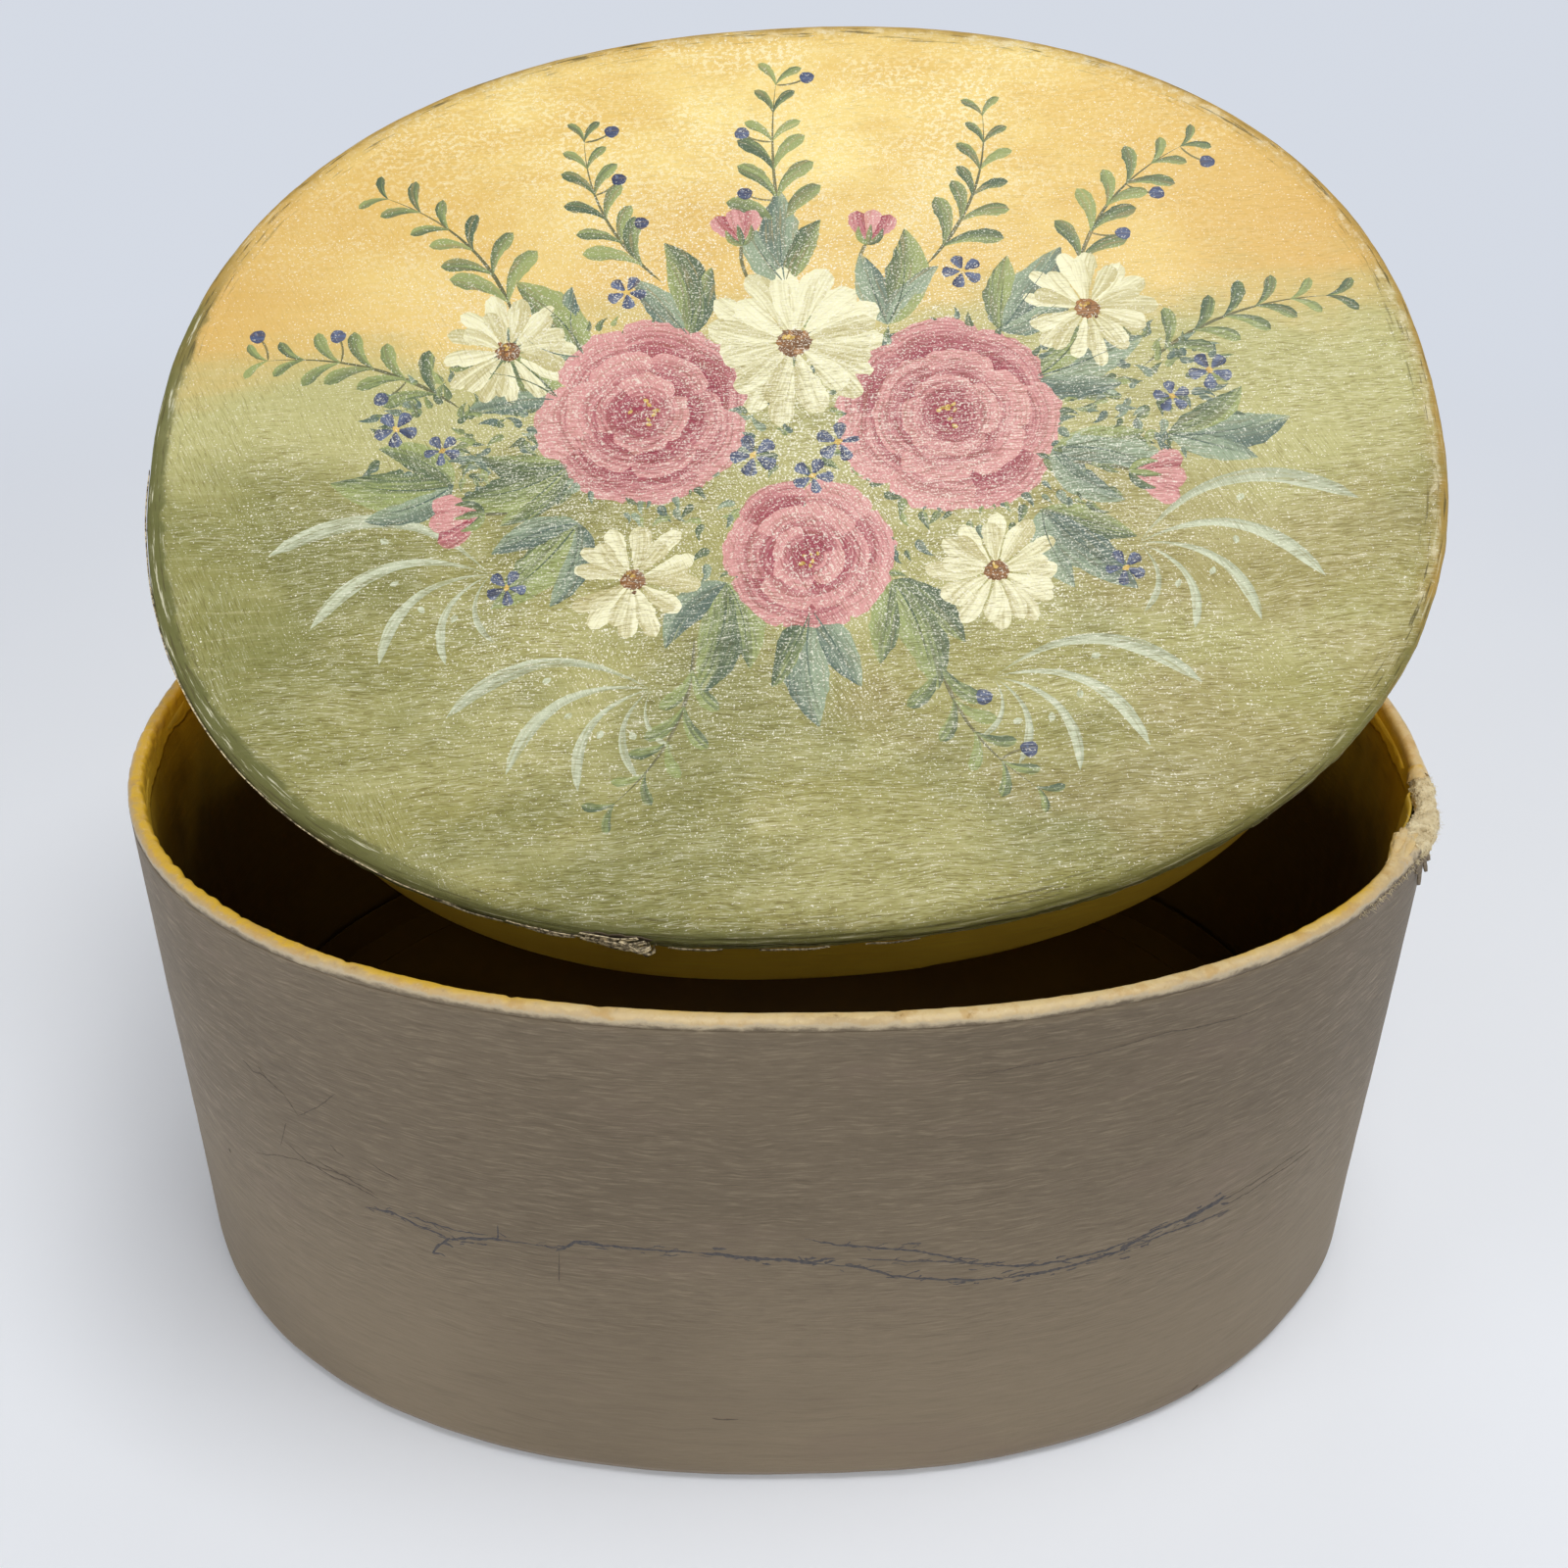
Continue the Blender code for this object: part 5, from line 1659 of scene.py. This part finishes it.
def paint_sprig(paints, draw, base, angle, length, pairs, bend, berries):
    """A curved stem with pairs of comma leaves, and berries between them."""
    tip = polar(base, angle, length)
    side = (-math.sin(angle), math.cos(angle))
    stroke(paints["stems"], draw, base, tip, 0.0011, bend, 0.00006, "comma", (0.2, 0.6), 0.5)
    for step in range(pairs):
        share = (step + 0.8) / pairs
        out = bend * length * 4 * share * (1 - share)
        spot = tuple(root + (end - root) * share + way * out for root, end, way in zip(base, tip, side))
        way_on = angle + math.atan(bend * 4 * (1 - 2 * share))
        size = length * 0.23 * (1.25 - 0.6 * share) * draw.uniform(0.85, 1.15)
        for way in (-1, 1):
            leaf_tip = polar(spot, way_on + way * draw.uniform(0.55, 0.85), size)
            shade = draw.uniform(-0.1, 0.5)
            load = (shade, shade + 0.6)
            bow = way * 0.12
            stroke(paints["green"], draw, leaf_tip, spot, size * 0.34, bow, 0.00010, "comma", load, 0.4)
        if berries and step % 2:
            way = draw.choice((-1, 1))
            berry = polar(spot, way_on + way * 1.2, length * 0.15)
            stroke(paints["stems"], draw, spot, berry, 0.0006, 0.1 * way, 0.00006, "line", (0.4, 0.6), 0.2)
            blob(paints["navy"], draw, berry, 0.0036, 0.00018, 0.3)
            dab(paints["navy"], draw, polar(berry, 2.2, 0.0007), 0.0011, 0.00026, 1.3)


def paint_fan(paints, draw, root, angle, length, way):
    """A fan of curved comma strokes that spring from one point, shorter towards its inner side."""
    for step in range(5):
        turn = way * (0.42 * step - 0.30)
        reach = length * (1.0, 0.82, 0.64, 0.48, 0.34)[step]
        head = polar(root, angle + turn, reach)
        end = polar(root, angle + turn * 0.3, length * 0.04)
        lift = 0.00006 + 0.00001 * step
        stroke(paints["scroll"], draw, head, end, reach * 0.095, 0.22 * way, lift, "comma", (0.0, 1.0), 0.8)
        if step < 4:
            bead = polar(root, angle + turn - 0.22 * way, length * (0.52, 0.44, 0.36, 0.28)[step])
            dab(paints["scroll"], draw, bead, 0.0020, 0.00007, 0.8)


PAINTS = {
    # each brush: its low and its high tone, and how thinly the paint lies
    "scroll": ((0.40, 0.435, 0.285), (0.60, 0.645, 0.46), 0.55),
    "stems": ((0.105, 0.110, 0.045), (0.230, 0.205, 0.080), 0.30),
    "green": ((0.075, 0.118, 0.062), (0.330, 0.385, 0.135), 0.30),
    "blue_green": ((0.088, 0.140, 0.112), (0.300, 0.380, 0.250), 0.30),
    "rose": ((0.330, 0.040, 0.072), (0.700, 0.330, 0.315), 0.15),
    "cream": ((0.560, 0.500, 0.235), (0.905, 0.880, 0.590), 0.10),
    "brown": ((0.165, 0.066, 0.018), (0.420, 0.190, 0.055), 0.10),
    "ochre": ((0.450, 0.250, 0.035), (0.800, 0.560, 0.150), 0.10),
    "navy": ((0.030, 0.040, 0.098), (0.120, 0.155, 0.265), 0.15),
}
# Roses: middle, size
ROSES = (
    (-0.031, 0.006, 0.045), (0.034, 0.001, 0.047), (0.002, -0.031, 0.035),
)
# Buds: middle, size, the way they point
BUDS = (
    (-0.066, -0.016, 0.017, 3.35), (0.071, -0.016, 0.017, -0.20),
    (-0.008, 0.050, 0.015, 1.75), (0.020, 0.048, 0.014, 1.35),
)
# Daisies: middle, size, petals
DAISIES = (
    (0.002, 0.022, 0.042, 15), (-0.060, 0.024, 0.030, 13), (0.066, 0.026, 0.030, 13),
    (-0.034, -0.034, 0.028, 12), (0.040, -0.037, 0.028, 12),
)
# Small flowers: middle, size
SMALL_FLOWERS = (
    (-0.008, -0.006, 0.0105), (0.010, -0.004, 0.0100), (0.004, -0.012, 0.0090), (-0.084, 0.006, 0.0095),
    (0.090, 0.008, 0.0095), (-0.074, 0.000, 0.0080), (0.081, 0.002, 0.0080), (-0.034, 0.038, 0.0090),
    (0.040, 0.038, 0.0090), (-0.060, -0.034, 0.0085), (0.066, -0.038, 0.0085),
)
# Groups of three leaves: base, angle
LEAVES = (
    (-0.052, 0.012, 2.75), (-0.050, -0.006, 3.45), (-0.046, 0.024, 2.20), (-0.022, 0.028, 1.75),
    (-0.048, -0.022, 3.95), (-0.016, -0.040, 4.45), (0.056, 0.010, 0.35), (0.058, -0.010, -0.30),
    (0.050, 0.024, 0.95), (0.024, 0.028, 1.35), (0.054, -0.026, -0.85), (0.020, -0.042, -1.30),
    (-0.076, -0.010, 3.05), (0.084, -0.008, 0.10), (0.002, -0.048, -1.57), (0.001, 0.042, 1.57),
)
# Clumps of foliage: middle, half width, half height, touches
CLUMPS = (
    (-0.040, 0.004, 0.030, 0.026, 190), (0.044, 0.000, 0.031, 0.027, 190),
    (0.002, -0.006, 0.030, 0.038, 220), (-0.072, 0.004, 0.017, 0.016, 80),
    (0.078, 0.004, 0.017, 0.016, 80),
)
# Sprigs: base, angle, length, pairs of leaves, bend
SPRIGS = (
    (-0.070, 0.010, 2.80, 0.047, 6, -0.10), (-0.058, 0.030, 2.25, 0.050, 6, -0.12),
    (-0.026, 0.040, 1.95, 0.046, 6, 0.10), (0.076, 0.010, 0.34, 0.046, 6, 0.10),
    (0.064, 0.032, 0.90, 0.048, 6, 0.12), (0.032, 0.040, 1.20, 0.046, 6, -0.10),
    (0.002, 0.046, 1.57, 0.050, 6, 0.04), (-0.022, -0.048, 4.25, 0.040, 5, 0.12),
    (0.026, -0.050, -1.10, 0.040, 5, -0.12),
)
# Fans: root, angle, length, the way they turn
FANS = (
    (-0.062, -0.030, 3.30, 0.048, 1), (0.068, -0.032, -0.16, 0.048, -1),
    (-0.030, -0.058, 3.55, 0.042, 1), (0.036, -0.060, -0.41, 0.042, -1),
)


def paint_lid():
    """A spray of roses, daisies, small navy flowers, leaves and pale fans on the lid's ground."""
    draw = random.Random(8)
    paints = {name: Heap() for name in PAINTS}
    for x, y, angle, length, way in FANS:
        paint_fan(paints, draw, (x, y), angle, length, way)
    for index, (x, y, angle, length, pairs, bend) in enumerate(SPRIGS):
        paint_sprig(paints, draw, (x, y), angle, length, pairs, bend, index % 2 == 0)
    for x, y, wide, tall, count in CLUMPS:
        paint_foliage(paints, draw, (x, y), wide, tall, count)
    for x, y, angle in LEAVES:
        for spread, length in ((-0.48, 0.019), (0.46, 0.020), (0.0, 0.026)):
            kind = "blue_green" if draw.random() < 0.45 else "green"
            base = (x * 0.94, y * 0.90)
            paint_leaf(paints, draw, base, angle + spread, length, length * 0.42, kind)
    for x, y, size, angle in BUDS:
        paint_bud(paints, draw, (x, y), size, angle)
    for x, y, size in ROSES:
        paint_rose(paints, draw, (x, y), size)
    for x, y, size, count in DAISIES:
        paint_daisy(paints, draw, (x, y), size, count)
    for x, y, size in SMALL_FLOWERS:
        paint_small_flower(paints, draw, (x, y), size)
    for name, (low, high, thin) in PAINTS.items():
        paint = stroke_paint("paint_" + name, low, high, thin)
        paints[name].piece("painted_" + name, "lid", "lid_face_paper", paint)


# Carried pieces, stage and camera

def dress_carried(materials):
    """Gives each node that stays as it is its finish."""
    for name, material in materials.items():
        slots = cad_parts[name].data.materials
        slots.clear()
        slots.append(material)


FLOOR_NEAR = (0.86, 0.895, 0.96)
FLOOR_FAR = (0.665, 0.705, 0.78)


def floor_paint():
    """Pale floor: it takes the object's shadow nearby, and further off the camera sees one even tone."""
    n = Nodes("studio_floor")
    place = n.place()
    haze = n.noise(place, 6, 3)
    n.finish(n.mix(haze, FLOOR_NEAR, tuple(1.03 * part for part in FLOOR_NEAR)), 0.7, specular=0.1)
    glow = n.tree.nodes.new("ShaderNodeEmission")
    glow.inputs["Color"].default_value = (*FLOOR_FAR, 1)
    far = n.step(n.reach(place), 0.30, 0.85)
    seen = n.new("LightPath", {}, "Is Camera Ray")
    blend = n.tree.nodes.new("ShaderNodeMixShader")
    n.put(blend.inputs[0], n.times(far, seen))
    n.tree.links.new(n.shader.outputs[0], blend.inputs[1])
    n.tree.links.new(glow.outputs[0], blend.inputs[2])
    n.tree.links.new(blend.outputs[0], n.tree.nodes["Material Output"].inputs["Surface"])
    return n.material


def make_stage():
    """A pale floor, wide enough to fill the view."""
    reach = 12.0
    corners = np.array([[x, y, 0.0] for x in (-reach, reach) for y in (-reach, reach)])
    mesh = bpy.data.meshes.new("studio_floor")
    mesh.from_pydata(corners.tolist(), [], grid_faces(2, 2))
    floor = bpy.data.objects.new("studio_floor", mesh)
    mesh.materials.append(floor_paint())
    bpy.context.scene.collection.objects.link(floor)


def add_lamp(name, place, aim, size, power, colour=(1, 1, 1)):
    """A square soft box at a place, turned to a point."""
    light = bpy.data.lights.new(name, "AREA")
    light.size = size
    light.energy = power
    light.color = colour
    lamp = bpy.data.objects.new(name, light)
    lamp.location = place
    lamp.rotation_euler = (Vector(aim) - Vector(place)).to_track_quat("-Z", "Y").to_euler()
    bpy.context.scene.collection.objects.link(lamp)


def make_light():
    """Soft light from above and in front, as in the photograph, under a pale sky that lights every side."""
    add_lamp("key", (0.30, -0.20, 1.55), (0, 0, 0.08), 0.75, 10.6, (1.0, 0.985, 0.955))
    add_lamp("front", (0.05, -1.30, 1.00), (0, 0, 0.08), 0.6, 7.6, (1.0, 0.98, 0.95))
    add_lamp("left", (-1.50, -0.75, 0.34), (0, 0, 0.06), 0.6, 6.2)
    add_lamp("right", (1.50, -0.70, 0.34), (0, 0, 0.06), 0.6, 3.0)
    add_lamp("back", (0.10, 1.70, 0.45), (0, 0, 0.06), 1.0, 7.0)
    world = bpy.data.worlds.new("studio")
    bpy.context.scene.world = world
    world.use_nodes = True
    tree = world.node_tree
    sky = tree.nodes["Background"]
    sky.inputs["Color"].default_value = (0.95, 0.965, 1.0, 1)
    sky.inputs["Strength"].default_value = 0.25
    seen = tree.nodes.new("ShaderNodeBackground")
    seen.inputs["Color"].default_value = (*FLOOR_FAR, 1)
    path = tree.nodes.new("ShaderNodeLightPath")
    share = path.outputs["Is Camera Ray"]
    for name in ("Is Glossy Ray", "Is Transmission Ray"):
        either = tree.nodes.new("ShaderNodeMath")
        either.operation = "MAXIMUM"
        tree.links.new(share, either.inputs[0])
        tree.links.new(path.outputs[name], either.inputs[1])
        share = either.outputs[0]
    blend = tree.nodes.new("ShaderNodeMixShader")
    tree.links.new(share, blend.inputs[0])
    tree.links.new(sky.outputs[0], blend.inputs[1])
    tree.links.new(seen.outputs[0], blend.inputs[2])
    tree.links.new(blend.outputs[0], tree.nodes["World Output"].inputs["Surface"])


def make_camera():
    data = bpy.data.cameras.new("camera")
    data.lens = CAMERA_LENS
    data.sensor_width = CAMERA_SENSOR
    data.clip_start = 0.01
    camera = bpy.data.objects.new("camera", data)
    turn = Matrix.Rotation(-CAMERA_YAW, 4, "Z") @ Matrix.Rotation(math.pi / 2 - CAMERA_PITCH, 4, "X")
    camera.matrix_world = Matrix.Translation(CAMERA_PLACE) @ turn @ Matrix.Rotation(CAMERA_ROLL, 4, "Z")
    bpy.context.scene.collection.objects.link(camera)
    bpy.context.scene.camera = camera


def main():
    make_camera()
    rim = rim_paint()
    wall = wall_paint()
    # Inside the box the ochre darkens downward with painted shade
    inside = ochre_paint("inside_ochre", OCHRE, OCHRE_DEEP, shaded_below=0.118)
    # The collar's ochre is painted much lighter than the same paint inside the box: painted light for the
    # shade under the lid's edge
    collar = ochre_paint("collar_ochre_painted_light", (0.92, 0.61, 0.060), (0.82, 0.530, 0.050))
    board = raw_board("pasteboard", BOARD, (0.27, 0.20, 0.11))
    under = raw_board("underside", (0.25, 0.20, 0.15), (0.15, 0.115, 0.08))
    make_wall_skin(wall)
    make_wall_lining(inside)
    make_band(board)
    make_binding(rim)
    make_pulp(pulp_stuff())
    make_flap(rim)
    make_plies(rim)
    make_flakes(wall)
    make_wall_marks()
    make_lid_face(lid_ground())
    make_lid_edge(lid_edge_paint())
    make_collar(collar)
    make_frays(plain_mark("frayed_paper", GREY_PAPER, GREY_DARK))
    paint_lid()
    carried = {name: board for name in ("lid_board", "collar_band")}
    # The recessed base board takes a much darker pasteboard: painted shade in the recess under the wall's
    # foot
    carried["base_board"] = raw_board("base_pasteboard_shaded", (0.15, 0.115, 0.075), (0.085, 0.062, 0.040))
    carried["base_underside_paper"] = under
    # These pieces take the inside ochre, and with it its painted shade below its height
    for name in ("base_corner_strip", "floor_lining_paper", "lid_underside_paper", "collar_corner_strip"):
        carried[name] = inside
    dress_carried(carried)
    make_stage()
    make_light()
    bpy.context.scene.view_settings.view_transform = "Standard"


main()
